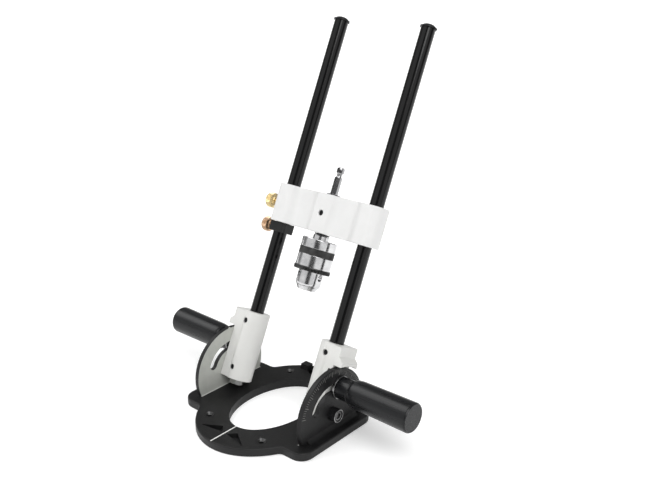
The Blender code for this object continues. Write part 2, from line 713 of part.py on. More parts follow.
def make_spindle():
    hex_corner = 6.35 * mm / math.cos(math.pi / 6) / 2
    shank_start = CARRIAGE_TOP + 1.5 * mm
    shaft = cylinder_mesh("spindle", SHAFT_RADIUS, CHUCK_TOP - 12 * mm, shank_start)
    spindle = place("spindle", shaft, STEEL, MAST)
    shank = cylinder_mesh("hex_shank", hex_corner, shank_start - mm, 221.6 * mm, 6)
    boolean(spindle, place_cutter("hex_shank", shank, MAST), "UNION")
    groove_middle = 214 * mm
    profile = [
        (hex_corner + mm, groove_middle + 3.2 * mm),
        (hex_corner + mm, groove_middle - 3.2 * mm),
        (2.4 * mm, groove_middle - 1.6 * mm),
        (2.4 * mm, groove_middle + 1.6 * mm),
    ]
    groove = place_cutter("power_groove", profile_mesh("power_groove", profile, True), MAST)
    turn(groove, 24)
    boolean(spindle, groove)
    inner = SHAFT_RADIUS + GAP
    low = CARRIAGE_TOP + GAP
    ring("spindle_clip", inner, 6.6 * mm, low, low + 0.8 * mm, DARK_STEEL, MAST)
    high = CARRIAGE_BOTTOM - GAP
    ring("spindle_washer", inner, 7.4 * mm, CHUCK_TOP + GAP, high, DARK_STEEL, MAST)


def jaw_axis(index, travel=0.0):
    """Where a jaw's lower end is and how it leans, for the jaw at 120 degrees times index."""
    turn_angle = JAW_FIRST_ANGLE + index * 2 * math.pi / 3
    about = Matrix.Rotation(turn_angle, 4, "Z")
    lean = Matrix.Rotation(JAW_ANGLE, 4, "Y")
    start = Matrix.Translation((JAW_MOUTH_OFFSET, 0, CHUCK_MOUTH))
    return about @ start @ lean @ Matrix.Translation((0, 0, travel))


def make_chuck_body():
    body_in_sleeve = 14.9 * mm
    points = [
        (0, CHUCK_TOP),
        (7.3 * mm, CHUCK_TOP),
        (8.0 * mm, CHUCK_TOP - 0.7 * mm),
        (8.0 * mm, SLEEVE_TOP - GAP),
        (body_in_sleeve, SLEEVE_TOP - GAP),
        (body_in_sleeve, SLEEVE_BOTTOM + 4.1 * mm),
        (NOSE_RADIUS, SLEEVE_BOTTOM + 4.1 * mm),
        (NOSE_RADIUS, 105.6 * mm),
        (NOSE_RADIUS - 0.6 * mm, 104.2 * mm),
        (9.3 * mm, CHUCK_MOUTH),
        (0, CHUCK_MOUTH),
    ]
    body = turned("chuck_body", points, STEEL, MAST)
    socket = cylinder_mesh("spindle_socket", SHAFT_RADIUS + GAP, CHUCK_TOP - 13 * mm, CHUCK_TOP + mm)
    boolean(body, place_cutter("spindle_socket", socket, MAST))
    bore = cylinder_mesh("chuck_bore", 5.3 * mm, CHUCK_MOUTH - mm, CHUCK_MOUTH + 30 * mm)
    boolean(body, place_cutter("chuck_bore", bore, MAST))
    jaw_way_end = JAW_LENGTH + 21 * mm + GAP
    for i in range(3):
        way = cylinder_mesh(f"jaw_way_{i}", JAW_RADIUS + GAP, -8 * mm, jaw_way_end, 24)
        way.transform(jaw_axis(i))
        boolean(body, place_cutter(f"jaw_way_{i}", way, MAST))
        hole = cylinder_mesh(f"key_hole_{i}", KEY_HOLE_RADIUS, 9.6 * mm, 15 * mm, 20)
        about = Matrix.Rotation(KEY_HOLE_FIRST_ANGLE + i * 2 * math.pi / 3, 4, "Z")
        hole.transform(about @ Matrix.Rotation(math.pi / 2, 4, "Y"))
        cutter = place_cutter(f"key_hole_{i}", hole, MAST, (0, 0, KEY_HOLE_Z))
        boolean(body, cutter)


def make_sleeve():
    inner = 15.3 * mm
    lip = NOSE_RADIUS + GAP
    points = [
        (SLEEVE_RADIUS - 0.8 * mm, SLEEVE_TOP),
        (SLEEVE_RADIUS, SLEEVE_TOP - 0.8 * mm),
        (SLEEVE_RADIUS, SLEEVE_TOP - 9.1 * mm),
        (SLEEVE_RADIUS - 0.2 * mm, SLEEVE_TOP - 9.3 * mm),
        (SLEEVE_RADIUS - 0.2 * mm, SLEEVE_TOP - 16.0 * mm),
        (SLEEVE_RADIUS, SLEEVE_TOP - 16.2 * mm),
        (SLEEVE_RADIUS, SLEEVE_BOTTOM + GEAR_HEIGHT),
        (GEAR_RADIUS, SLEEVE_BOTTOM + GEAR_HEIGHT),
        (GEAR_RADIUS, SLEEVE_BOTTOM + 0.8 * mm),
        (17.2 * mm, SLEEVE_BOTTOM),
        (lip, SLEEVE_BOTTOM),
        (lip, SLEEVE_BOTTOM + 3.8 * mm),
        (inner, SLEEVE_BOTTOM + 3.8 * mm),
        (inner, SLEEVE_TOP),
    ]
    turned("chuck_sleeve", points, STEEL, MAST, closed=True)


def make_jaw(index):
    """A round jaw that leans out from the mouth, ground to a 120 degree edge at the chuck's axis."""
    name = f"chuck_jaw_{index + 1}"
    mesh = cylinder_mesh(name, JAW_RADIUS, 0, JAW_LENGTH, 24)
    closed_to_rest = jaw_axis(index, JAW_OPEN)
    mesh.transform(closed_to_rest)
    jaw = place(name, mesh, STEEL, MAST)
    shift = JAW_OPEN * math.sin(JAW_ANGLE)
    about = Matrix.Rotation(JAW_FIRST_ANGLE + index * 2 * math.pi / 3, 4, "Z")
    for label, sign in (("a", -1), ("b", 1)):
        plane = box_mesh(f"{name}_face_{label}", (-20 * mm, -20 * mm, 0), (0, 20 * mm, 60 * mm))
        place_at = Matrix.Translation((shift + 0.35 * mm, 0, CHUCK_MOUTH))
        turn_face = Matrix.Rotation(sign * math.radians(30), 4, "Z")
        plane.transform(about @ place_at @ turn_face)
        boolean(jaw, place_cutter(f"{name}_face_{label}", plane, MAST))


clear_scene()
PARTS = new_collection("drill_guide")
CUTTERS = new_collection("cutters")
MAST = empty("mast_pivot", (0, BASE_CENTRE_Y + PIVOT_Y, PIVOT_Z), (-TILT, 0, 0))

make_base()
both_sides(make_bracket)
both_sides(make_set_screws)
both_sides(make_rod)
both_sides(make_rod_bolt)
both_sides(make_pivot_screw)
both_sides(make_handle)
make_carriage()
both_sides(make_rod_bushes)
make_spindle_bushes()
thumb_screw("carriage_thumb_screw", (CARRIAGE_TOP + CARRIAGE_BOTTOM) / 2, 68.5 * mm, 7.7 * mm)
make_stop()
thumb_screw("stop_thumb_screw", (STOP_TOP + STOP_BOTTOM) / 2, 65.0 * mm, 7.4 * mm)
make_spindle()
make_chuck_body()
make_sleeve()
for number in range(3):
    make_jaw(number)
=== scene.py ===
import json
import math

import bmesh
import bpy
from mathutils import Matrix, Vector


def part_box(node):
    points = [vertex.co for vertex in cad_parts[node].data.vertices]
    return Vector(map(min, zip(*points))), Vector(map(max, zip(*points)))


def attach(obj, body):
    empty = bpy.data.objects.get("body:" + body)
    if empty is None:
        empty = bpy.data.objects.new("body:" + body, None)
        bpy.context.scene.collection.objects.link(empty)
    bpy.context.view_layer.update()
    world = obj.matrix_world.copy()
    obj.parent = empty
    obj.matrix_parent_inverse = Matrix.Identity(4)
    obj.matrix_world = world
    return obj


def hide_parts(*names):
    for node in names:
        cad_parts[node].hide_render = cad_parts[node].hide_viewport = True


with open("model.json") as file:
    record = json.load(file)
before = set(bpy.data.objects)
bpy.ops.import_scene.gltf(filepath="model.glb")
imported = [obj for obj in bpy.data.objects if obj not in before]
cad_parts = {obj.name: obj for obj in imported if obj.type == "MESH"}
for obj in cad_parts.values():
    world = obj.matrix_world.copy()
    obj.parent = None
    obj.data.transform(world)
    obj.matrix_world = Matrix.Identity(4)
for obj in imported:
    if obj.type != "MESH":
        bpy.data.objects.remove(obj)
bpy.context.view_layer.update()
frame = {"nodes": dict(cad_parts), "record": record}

mm = 0.001
TURN = 2 * math.pi

# The frame: where the mast stands, and each node's box along the mast

JOINTS = {joint["name"]: joint for joint in frame["record"]["behaviour"]["joints"]}
PIVOT = Vector(JOINTS["mast_tilt"]["pos_m"])
UP_MAST = Vector(JOINTS["stop_slide"]["axis"]).normalized()
ACROSS = Vector((1, 0, 0))
BACK = UP_MAST.cross(ACROSS)
MAST_LEAN = -math.atan2(UP_MAST.y, UP_MAST.z)
MAST = Matrix.Translation(PIVOT) @ Matrix((ACROSS, BACK, UP_MAST)).transposed().to_4x4()
WORLD = Matrix.Identity(4)


def mast_box(node):
    """Lowest and highest corner of a node in the mast's own axes: across, back and up the mast."""
    to_mast = MAST.inverted()
    points = [to_mast @ v.co for v in frame["nodes"][node].data.vertices]
    low = Vector([min(p[i] for p in points) for i in range(3)])
    high = Vector([max(p[i] for p in points) for i in range(3)])
    return low, high


BASE_LOW, BASE_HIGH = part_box("base_casting")
BASE_Y = (BASE_LOW.y + BASE_HIGH.y) / 2
ROD_LOW, ROD_HIGH = mast_box("right_rod")
ROD_X = (ROD_LOW.x + ROD_HIGH.x) / 2
ROD_RADIUS = (ROD_HIGH.x - ROD_LOW.x) / 2
BRACKET_LOW, BRACKET_HIGH = mast_box("right_bracket")
CARRIAGE_LOW, CARRIAGE_HIGH = mast_box("carriage_block")
STOP_LOW, STOP_HIGH = mast_box("depth_stop")
GRIP_LOW, GRIP_HIGH = mast_box("right_handle_grip")
SLEEVE_LOW, SLEEVE_HIGH = mast_box("chuck_sleeve")
CHUCK_LOW, CHUCK_HIGH = mast_box("chuck_body")
SPINDLE_LOW, SPINDLE_HIGH = mast_box("spindle")
CLIP_LOW, CLIP_HIGH = mast_box("right_rod_clip")

# The driving sizes

GAP = 0.3 * mm
PAST_ALL = 50 * mm

BASE_THICK = 8.2 * mm
RING_X, RING_Y = 66.7 * mm, 86.4 * mm
OPENING_X, OPENING_Y = 34.7 * mm, 54.0 * mm
SCREW_X, SCREW_Y = 34.7 * mm, 56.0 * mm
POCKET_CORNERS = ((3.2, 68.8), (9.5, 61.5), (27.5, 73.0))
POCKET_DEPTH = 4.5 * mm
LUG_LOW_X, LUG_HIGH_X = 21.0 * mm, 30.5 * mm
LUG_FRONT_Y, LUG_BACK_Y = 67.0 * mm, 76.5 * mm
LUG_HEIGHT = 5.0 * mm
LUG_LEAN = 2.0 * mm
LINE_HALF_WIDTH = 0.7 * mm
LINE_DEPTH = 0.4 * mm

CHEEK_THICK = 4.5 * mm
CHEEK_INNER_X = 65.0 * mm
CHEEK_OUTER_X = CHEEK_INNER_X + CHEEK_THICK
CHEEK_RADIUS = 43.4 * mm
SLOT_RADIUS = (GRIP_LOW.z + GRIP_HIGH.z) / 2
SLOT_HALF_WIDTH = 4.3 * mm
SLOT_HALF_ANGLE = math.radians(65.5)

BOSS_RADIUS = 14.0 * mm
FLANGE_HALF_DEPTH = 12.8 * mm
LIP_OUTER_X = BRACKET_HIGH.x
LIP_REACH = 45.6 * mm
LIP_TOP = 48.0 * mm
COLLAR_OUTER_X = 68.4 * mm
COLLAR_START = 52.5 * mm
BRACKET_HOLE_START_X = 60.9 * mm
BOLT_RADIUS = 4.0 * mm
SET_SCREW_RADIUS = 2.5 * mm
SET_SCREW_HEIGHTS = (4.0 * mm, 52.0 * mm)
HANDLE_BORE = 4.3 * mm
HANDLE_START_X = 86.0 * mm

ROD_WAY_RADIUS = 7.42 * mm
SPINDLE_WAY_RADIUS = 5.42 * mm
THUMB_HOLE_RADIUS = 2.8 * mm
THUMB_HEAD = 11 * mm

SHANK_FLATS = 6.35 * mm
SHANK_GROOVE_HEIGHT = 214 * mm
CHUCK_BORE = 5.3 * mm
KEY_HOLE_HEIGHT = SLEEVE_LOW.z - 3.8 * mm

# Turns about the mast, and the jaws' lean, in degrees

SHANK_TURN = -24
JAW_TURN, JAW_LEAN = 62, 14
KEY_HOLE_TURN = 2


# Materials

NOISE_LOW, NOISE_HIGH = 0.3, 0.7


class Nodes:
    """A short way to add and join the nodes of one material."""

    def __init__(self, name):
        self.material = bpy.data.materials.new(name)
        self.material.use_nodes = True
        self.tree = self.material.node_tree
        self.shader = self.tree.nodes["Principled BSDF"]
        self.place = self.add("ShaderNodeTexCoord").outputs["Object"]

    def add(self, kind, **settings):
        node = self.tree.nodes.new(kind)
        for key, value in settings.items():
            if key in node.inputs:
                node.inputs[key].default_value = value
            else:
                setattr(node, key, value)
        return node

    def join(self, start, end):
        self.tree.links.new(start, end)

    def noise(self, scale, detail=4.0, stretch=(1, 1, 1), lean=0.0):
        """Noise of so many grains a metre, drawn out where the stretch is small, turned about X."""
        mapping = self.add("ShaderNodeMapping", vector_type="TEXTURE")
        mapping.inputs["Scale"].default_value = [1 / factor for factor in stretch]
        mapping.inputs["Rotation"].default_value = (lean, 0, 0)
        self.join(self.place, mapping.inputs["Vector"])
        noise = self.add("ShaderNodeTexNoise", Scale=scale, Detail=detail, Roughness=0.55)
        self.join(mapping.outputs["Vector"], noise.inputs["Vector"])
        return noise.outputs["Fac"]

    def spread(self, value, low, high):
        """A number that follows the noise's middle range from low to high."""
        node = self.add("ShaderNodeMapRange")
        node.inputs["From Min"].default_value = NOISE_LOW
        node.inputs["From Max"].default_value = NOISE_HIGH
        node.inputs["To Min"].default_value = low
        node.inputs["To Max"].default_value = high
        self.join(value, node.inputs["Value"])
        return node.outputs["Result"]

    def colour(self, value, dark, light):
        """A colour that follows the noise's middle range from dark to light."""
        ramp = self.add("ShaderNodeValToRGB")
        ramp.color_ramp.elements[0].position = NOISE_LOW
        ramp.color_ramp.elements[1].position = NOISE_HIGH
        ramp.color_ramp.elements[0].color = (*dark, 1)
        ramp.color_ramp.elements[1].color = (*light, 1)
        self.join(value, ramp.inputs["Fac"])
        return ramp.outputs["Color"]

    def bump(self, value, depth, strength, under=None):
        node = self.add("ShaderNodeBump", Strength=strength, Distance=depth)
        self.join(value, node.inputs["Height"])
        if under:
            self.join(under, node.inputs["Normal"])
        return node.outputs["Normal"]

    def set(self, **inputs):
        """Each input is a number, a colour or another node's output. Returns the material."""
        for key, value in inputs.items():
            socket = self.shader.inputs[key.replace("_", " ")]
            if isinstance(value, bpy.types.NodeSocket):
                self.join(value, socket)
            else:
                socket.default_value = value
        return self.material


def black_casting_paint():
    n = Nodes("black_casting_paint")
    grain = n.noise(2600, 3)
    cloud = n.noise(60, 3)
    base = n.colour(cloud, (0.006, 0.006, 0.0062), (0.0105, 0.0105, 0.0108))
    rough = n.spread(cloud, 0.42, 0.54)
    skin = n.bump(grain, 0.00012, 0.5)
    skin = n.bump(n.noise(420, 2), 0.00025, 0.25, skin)
    return n.set(Base_Color=base, Roughness=rough, Normal=skin, Specular_IOR_Level=0.3)


def machined_face():
    n = Nodes("machined_face")
    sweep = n.noise(900, 4, (0.04, 1, 0.12))
    cloud = n.noise(45, 3)
    base = n.colour(cloud, (0.42, 0.43, 0.4), (0.51, 0.52, 0.485))
    rough = n.spread(sweep, 0.42, 0.6)
    return n.set(Base_Color=base, Roughness=rough, Metallic=0.15, Normal=n.bump(sweep, 0.00005, 0.4))


def fine_paint(name, tint):
    """A smooth sprayed paint with a faint orange skin."""
    n = Nodes(name)
    cloud = n.noise(55, 3)
    low = tuple(0.95 * c for c in tint)
    base = n.colour(cloud, low, tint)
    rough = n.spread(n.noise(300, 3), 0.34, 0.46)
    skin = n.bump(n.noise(700, 2), 0.00012, 0.35)
    skin = n.bump(n.noise(2400, 2), 0.00005, 0.3, skin)
    return n.set(Base_Color=base, Roughness=rough, Normal=skin)


def rod_black():
    n = Nodes("rod_black")
    streak = n.noise(700, 3, (1, 1, 0.02), MAST_LEAN)
    base = n.colour(streak, (0.003, 0.003, 0.0032), (0.006, 0.006, 0.0063))
    rough = n.spread(streak, 0.08, 0.15)
    skin = n.bump(streak, 0.00002, 0.3)
    return n.set(Base_Color=base, Roughness=rough, Normal=skin, Specular_IOR_Level=0.31)


def grip_satin():
    n = Nodes("grip_satin")
    streak = n.noise(260, 4, (0.05, 1, 1))
    grain = n.noise(2200, 2)
    base = n.colour(streak, (0.006, 0.0063, 0.007), (0.011, 0.0115, 0.0125))
    rough = n.spread(streak, 0.24, 0.34)
    return n.set(Base_Color=base, Roughness=rough, Normal=n.bump(grain, 0.00006, 0.4),
                 Specular_IOR_Level=0.26)


def turned_metal(name, dark, light, rough, metallic=1.0, depth=0.00003):
    """Bare metal with fine rings left by the lathe, round the piece's own Z."""
    n = Nodes(name)
    rings = n.noise(1800, 3, (0.05, 0.05, 1))
    cloud = n.noise(130, 3)
    base = n.colour(cloud, dark, light)
    roughness = n.spread(rings, rough * 0.8, rough * 1.3)
    skin = n.bump(rings, depth, 0.35)
    return n.set(Base_Color=base, Roughness=roughness, Metallic=metallic, Normal=skin)


def line_paint():
    n = Nodes("line_paint")
    base = n.colour(n.noise(900, 3), (0.62, 0.62, 0.6), (0.85, 0.85, 0.83))
    return n.set(Base_Color=base, Roughness=0.6, Normal=n.bump(n.noise(1800, 2), 0.00008, 0.4))


def pale_floor():
    n = Nodes("pale_floor")
    base = n.colour(n.noise(3, 2), (0.86, 0.86, 0.86), (0.875, 0.875, 0.875))
    return n.set(Base_Color=base, Roughness=0.9, Specular_IOR_Level=0.1,
                 Emission_Color=(1, 1, 1, 1), Emission_Strength=0.3)


BLACK_PAINT = black_casting_paint()
MACHINED = machined_face()
BRACKET_PAINT = fine_paint("bracket_paint", (0.66, 0.66, 0.64))
CARRIAGE_PAINT = fine_paint("carriage_paint", (0.71, 0.71, 0.705))
BARE_EDGE = fine_paint("bare_edge", (0.62, 0.62, 0.6))
SCALE_PAINT = fine_paint("scale_paint", (0.11, 0.11, 0.105))
ROD_BLACK = rod_black()
GRIP = grip_satin()
BRASS = turned_metal("bright_brass", (0.6, 0.46, 0.22), (0.84, 0.71, 0.44), 0.26)
BROWN_BRASS = turned_metal("brown_brass", (0.4, 0.26, 0.16), (0.64, 0.46, 0.32), 0.3)
STEEL = turned_metal("polished_steel", (0.54, 0.54, 0.55), (0.7, 0.7, 0.705), 0.19)
SHANK_STEEL = turned_metal("shank_steel", (0.3, 0.3, 0.305), (0.37, 0.37, 0.375), 0.18, depth=0.000008)
COUNTERSINK = turned_metal("countersink_steel", (0.04, 0.04, 0.04), (0.11, 0.11, 0.11), 0.4)
RIM_STEEL = turned_metal("rim_steel", (0.1, 0.1, 0.1), (0.34, 0.34, 0.34), 0.3)
WASHER_STEEL = turned_metal("washer_steel", (0.2, 0.2, 0.2), (0.36, 0.36, 0.36), 0.24)
ZINC = turned_metal("zinc_plate", (0.26, 0.26, 0.26), (0.42, 0.42, 0.41), 0.34)
BLACK_OXIDE = turned_metal("black_oxide", (0.012, 0.012, 0.013), (0.03, 0.03, 0.032), 0.36, 0.6)
KNURL_BLACK = turned_metal("knurl_black", (0.03, 0.03, 0.03), (0.08, 0.08, 0.08), 0.42, 0.7)
BRONZE = turned_metal("bush_bronze", (0.36, 0.22, 0.1), (0.5, 0.33, 0.16), 0.4)
LINE_PAINT = line_paint()


# Shapes


def soften(points, radius, closed=True, steps=4):
    """Each corner of an outline made round. A point may carry its own radius as a third number."""
    count = len(points)
    made = []
    for i, point in enumerate(points):
        here = Vector(point[:2])
        size = point[2] if len(point) > 2 else radius
        if (not closed and i in (0, count - 1)) or size <= 0:
            made.append(tuple(here))
            continue
        before = Vector(points[i - 1][:2]) - here
        after = Vector(points[(i + 1) % count][:2]) - here
        reach = min(size, before.length * 0.45, after.length * 0.45)
        start = here + before.normalized() * reach
        end = here + after.normalized() * reach
        for k in range(steps + 1):
            t = k / steps
            made.append(tuple(start * (1 - t) ** 2 + here * (2 * t * (1 - t)) + end * t * t))
    return made


def arc(centre, radius, start, end, steps):
    angles = [start + (end - start) * i / steps for i in range(steps + 1)]
    return [(centre[0] + radius * math.cos(a), centre[1] + radius * math.sin(a)) for a in angles]


def mirrored_outline(quarter):
    half = quarter + [(-x, y) for x, y in reversed(quarter) if x > 0.001 * mm]
    return half + [(x, -y) for x, y in reversed(half) if y > 0.001 * mm]


def hexagon(across_flats):
    """The radius of a hexagon at each angle."""
    return lambda angle: across_flats / 2 / math.cos((angle % (TURN / 6)) - TURN / 12)


def ridges(radius, count, depth):
    """The radius of a knurled or toothed rim at each angle."""
    return lambda angle: radius - depth * (0.5 + 0.5 * math.cos(count * angle)) ** 0.7


def lathe(name, profile, segments=72, closed=False):
    """(radius, height) points turned about Z. A third item gives the most radius at each angle."""
    bm = bmesh.new()
    rings = []
    for point in profile:
        radius, height = point[:2]
        limit = point[2] if len(point) > 2 else None
        if radius <= 0:
            rings.append([bm.verts.new((0, 0, height))])
            continue
        ring = []
        for i in range(segments):
            angle = TURN * i / segments
            r = min(radius, limit(angle)) if limit else radius
            ring.append(bm.verts.new((r * math.cos(angle), r * math.sin(angle), height)))
        rings.append(ring)
    pairs = list(zip(rings, rings[1:]))
    if closed:
        pairs.append((rings[-1], rings[0]))
    for first, second in pairs:
        for i in range(segments):
            j = (i + 1) % segments
            corners = [first[i % len(first)], second[i % len(second)]]
            corners += [second[j % len(second)], first[j % len(first)]]
            unique = list(dict.fromkeys(corners))
            if len(unique) > 2:
                bm.faces.new(unique)
    bmesh.ops.recalc_face_normals(bm, faces=bm.faces)
    return to_mesh(bm, name)


def turned(name, points, radius=0.4 * mm, segments=72, closed=False):
    """A turned shape whose profile's corners are made round."""
    return lathe(name, soften(points, radius, closed, 3), segments, closed)


def washer(name, inner, outer, low, high, radius=0.25 * mm):
    points = [(outer, high), (outer, low), (inner, low), (inner, high)]
    return turned(name, points, radius, 72, True)


def prism(name, outline, low, high, bevel=0.0, steps=3):
    """An outline in XY raised from one height to another, with its end rims made round."""
    bm = bmesh.new()
    bottom = [bm.verts.new((x, y, low)) for x, y in outline]
    top = [bm.verts.new((x, y, high)) for x, y in outline]
    caps = [bm.faces.new(bottom), bm.faces.new(top)]
    for i in range(len(bottom)):
        j = (i + 1) % len(bottom)
        bm.faces.new((bottom[i], bottom[j], top[j], top[i]))
    bmesh.ops.recalc_face_normals(bm, faces=bm.faces)
    if bevel:
        rims = {edge for face in caps for edge in face.edges}
        bmesh.ops.bevel(bm, geom=list(rims), offset=bevel, segments=steps, profile=0.5,
                        affect="EDGES", clamp_overlap=True)
    return to_mesh(bm, name)


def box(name, low, high, bevel=0.0):
    corners = [(low[0], low[1]), (high[0], low[1]), (high[0], high[1]), (low[0], high[1])]
    return prism(name, corners, low[2], high[2], bevel)


def to_mesh(bm, name):
    mesh = bpy.data.meshes.new(name)
    bm.to_mesh(mesh)
    bm.free()
    return mesh


def moved(mesh, *matrices):
    for matrix in matrices:
        mesh.transform(matrix)
    if sum(matrix.determinant() < 0 for matrix in matrices) % 2:
        mesh.flip_normals()
    return mesh


def shift(x=0.0, y=0.0, z=0.0):
    return Matrix.Translation((x, y, z))


def spin(degrees, axis):
    return Matrix.Rotation(math.radians(degrees), 4, axis)


SIDE_MIRROR = Matrix.Scale(-1, 4, (1, 0, 0))
TO_FRONT = spin(90, "X")
ALONG_X = spin(90, "Z") @ spin(90, "X")
BASE_PLACE = shift(0, BASE_Y)
CHEEK_Y = PIVOT.y - BASE_Y


def to_side(sign):
    """Turns a shape made up Z so that it points out along X on that side."""
    return spin(90 * sign, "Y")


def carve(mesh, *changes):
    """Cuts ("-", mesh) from the mesh or joins ("+", mesh) to it, one after another."""
    obj = bpy.data.objects.new("work", mesh)
    bpy.context.scene.collection.objects.link(obj)
    for sign, other in changes:
        tool = bpy.data.objects.new("tool", other)
        bpy.context.scene.collection.objects.link(tool)
        modifier = obj.modifiers.new("carve", "BOOLEAN")
        modifier.operation = "UNION" if sign == "+" else "DIFFERENCE"
        modifier.solver = "EXACT"
        modifier.object = tool
        graph = bpy.context.evaluated_depsgraph_get()
        result = bpy.data.meshes.new_from_object(obj.evaluated_get(graph))
        obj.modifiers.remove(modifier)
        obj.data = result
        bpy.data.objects.remove(tool)
    result = obj.data
    bpy.data.objects.remove(obj)
    return result


def piece(name, mesh, materials, body, replaces=(), matrix=MAST, bevel=0.0, angle=32):
    """A finished piece on its body, shaded smooth up to its sharp edges."""
    mesh.materials.clear()
    for material in materials if isinstance(materials, (list, tuple)) else [materials]:
        mesh.materials.append(material)
    obj = bpy.data.objects.new(name, mesh)
    obj.matrix_world = matrix
    bpy.context.scene.collection.objects.link(obj)
    if bevel:
        modifier = obj.modifiers.new("edges", "BEVEL")
        modifier.width = bevel
        modifier.segments = 2
        modifier.limit_method = "ANGLE"
        modifier.angle_limit = math.radians(angle)
        modifier.miter_outer = "MITER_ARC"
    mesh.shade_smooth()
    mesh.set_sharp_from_angle(angle=math.radians(angle))
    weighted = obj.modifiers.new("shading", "WEIGHTED_NORMAL")
    weighted.keep_sharp = not bevel
    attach(obj, body)
    if replaces:
        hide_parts(*replaces)
    return obj


def both_sides(make):
    for side, sign in (("left", -1), ("right", 1)):
        make(side, sign)


def cylinder_cut(radius, low, high, mouth=0.0, segments=48):
    """A round cutter up Z, widened at its high end by a small chamfer that starts below it."""
    points = [(0, high), (radius, high), (radius, low), (0, low)]
    if mouth:
        chamfer = 0.5 * mm
        lip = (radius + chamfer + (high - mouth), high)
        points = [(0, high), lip, (radius, mouth - chamfer), (radius, low), (0, low)]
    return lathe("cut", points, segments)


# Base casting


def base_outline():
    """An oval ring run into two straight sides, joined by fillets found by halving the angle."""
    edge_x, edge_y = BASE_HIGH.x, 51.0 * mm
    corner, fillet = 13.0 * mm, 6.0 * mm
    low, high = 0.0, math.pi / 2
    for _ in range(60):
        angle = (low + high) / 2
        normal = Vector((math.cos(angle) / RING_X, math.sin(angle) / RING_Y)).normalized()
        centre = Vector((RING_X * math.cos(angle), RING_Y * math.sin(angle))) + normal * fillet
        low, high = (angle, high) if centre.y < edge_y + fillet else (low, angle)
    touch = math.atan2(-normal.y, -normal.x)
    quarter = arc((edge_x - corner, edge_y - corner), corner, 0, math.pi / 2, 14)
    quarter += arc(centre, fillet, -math.pi / 2, touch, 8)
    steps = 40
    for i in range(1, steps + 1):
        a = angle + (math.pi / 2 - angle) * i / steps
        quarter.append((RING_X * math.cos(a), RING_Y * math.sin(a)))
    return mirrored_outline(quarter)


def cheek_outline():
    """A round cheek sunk half way into the plate, with a small point at its top."""
    foot = math.asin((PIVOT.z - BASE_THICK / 2) / CHEEK_RADIUS)
    point_half, point_height = math.radians(2.2), 1.8 * mm
    front = arc((0, 0), CHEEK_RADIUS, math.pi / 2 + point_half, math.pi + foot, 60)
    back = arc((0, 0), CHEEK_RADIUS, -foot, math.pi / 2 - point_half, 60)
    return back + [(0, CHEEK_RADIUS + point_height)] + front


def slot_outline():
    start, end = math.pi / 2 - SLOT_HALF_ANGLE, math.pi / 2 + SLOT_HALF_ANGLE
    half = SLOT_HALF_WIDTH
    first = (SLOT_RADIUS * math.cos(start), SLOT_RADIUS * math.sin(start))
    last = (SLOT_RADIUS * math.cos(end), SLOT_RADIUS * math.sin(end))
    points = arc((0, 0), SLOT_RADIUS + half, start, end, 48)
    points += arc(last, half, end, end + math.pi, 14)[1:-1]
    points += arc((0, 0), SLOT_RADIUS - half, end, start, 48)
    return points + arc(first, half, start + math.pi, start + TURN, 14)[1:-1]


def cheek_changes(sign):
    """The cheek with its foot fillets, and the slot and pivot hole cut through it."""
    middle = shift(sign * (CHEEK_INNER_X + CHEEK_OUTER_X) / 2, CHEEK_Y, PIVOT.z)
    half = CHEEK_THICK / 2
    cheek = moved(prism("cheek", cheek_outline(), -half, half), ALONG_X, middle)
    size = 4.5 * mm
    sunk = 1.5 * mm
    foot = [(-sunk, -sunk), (size, -sunk), (size, 0)]
    foot += arc((size, size), size, 1.5 * math.pi, math.pi, 10)[1:]
    foot += [(-sunk, size)]
    length = 34.0 * mm
    fillet = prism("fillet", foot, -length, length)
    fillet = moved(fillet, spin(90, "X"), shift(CHEEK_OUTER_X, CHEEK_Y, BASE_THICK))
    if sign < 0:
        fillet = moved(fillet, SIDE_MIRROR)
    slot = prism("slot", slot_outline(), -3 * CHEEK_THICK, 3 * CHEEK_THICK)
    hole = moved(cylinder_cut(BOLT_RADIUS + GAP, -9 * mm, 9 * mm), spin(90, "Y"), middle)
    return [("+", cheek), ("+", fillet), ("-", moved(slot, ALONG_X, middle)), ("-", hole)]


def quarter_cuts(sign_x, sign_y):
    """The countersunk screw hole and the three-cornered pocket in one quarter of the base."""
    sink = [(0, 1), (5.4, 1), (2.25, -2.2), (2.25, -9.2), (0, -9.2)]
    hole = lathe("sink", [(r * mm, z * mm) for r, z in sink], 40)
    hole = moved(hole, shift(sign_x * SCREW_X, sign_y * SCREW_Y, BASE_THICK))
    corners = [(sign_x * x * mm, sign_y * y * mm) for x, y in POCKET_CORNERS]
    floor, above = BASE_THICK - POCKET_DEPTH, BASE_THICK + mm
    return [("-", hole), ("-", prism("pocket", soften(corners, 0.8 * mm), floor, above))]


def back_lug(sign):
    near, far = sorted((sign * LUG_LOW_X, sign * LUG_HIGH_X))
    sunk = BASE_THICK - 2 * mm
    lug = box("lug", (near, LUG_FRONT_Y, sunk), (far, LUG_BACK_Y, BASE_THICK + LUG_HEIGHT))
    for vertex in lug.vertices:
        if vertex.co.z > BASE_THICK and vertex.co.y < LUG_FRONT_Y + mm:
            vertex.co.y += LUG_LEAN
    return lug


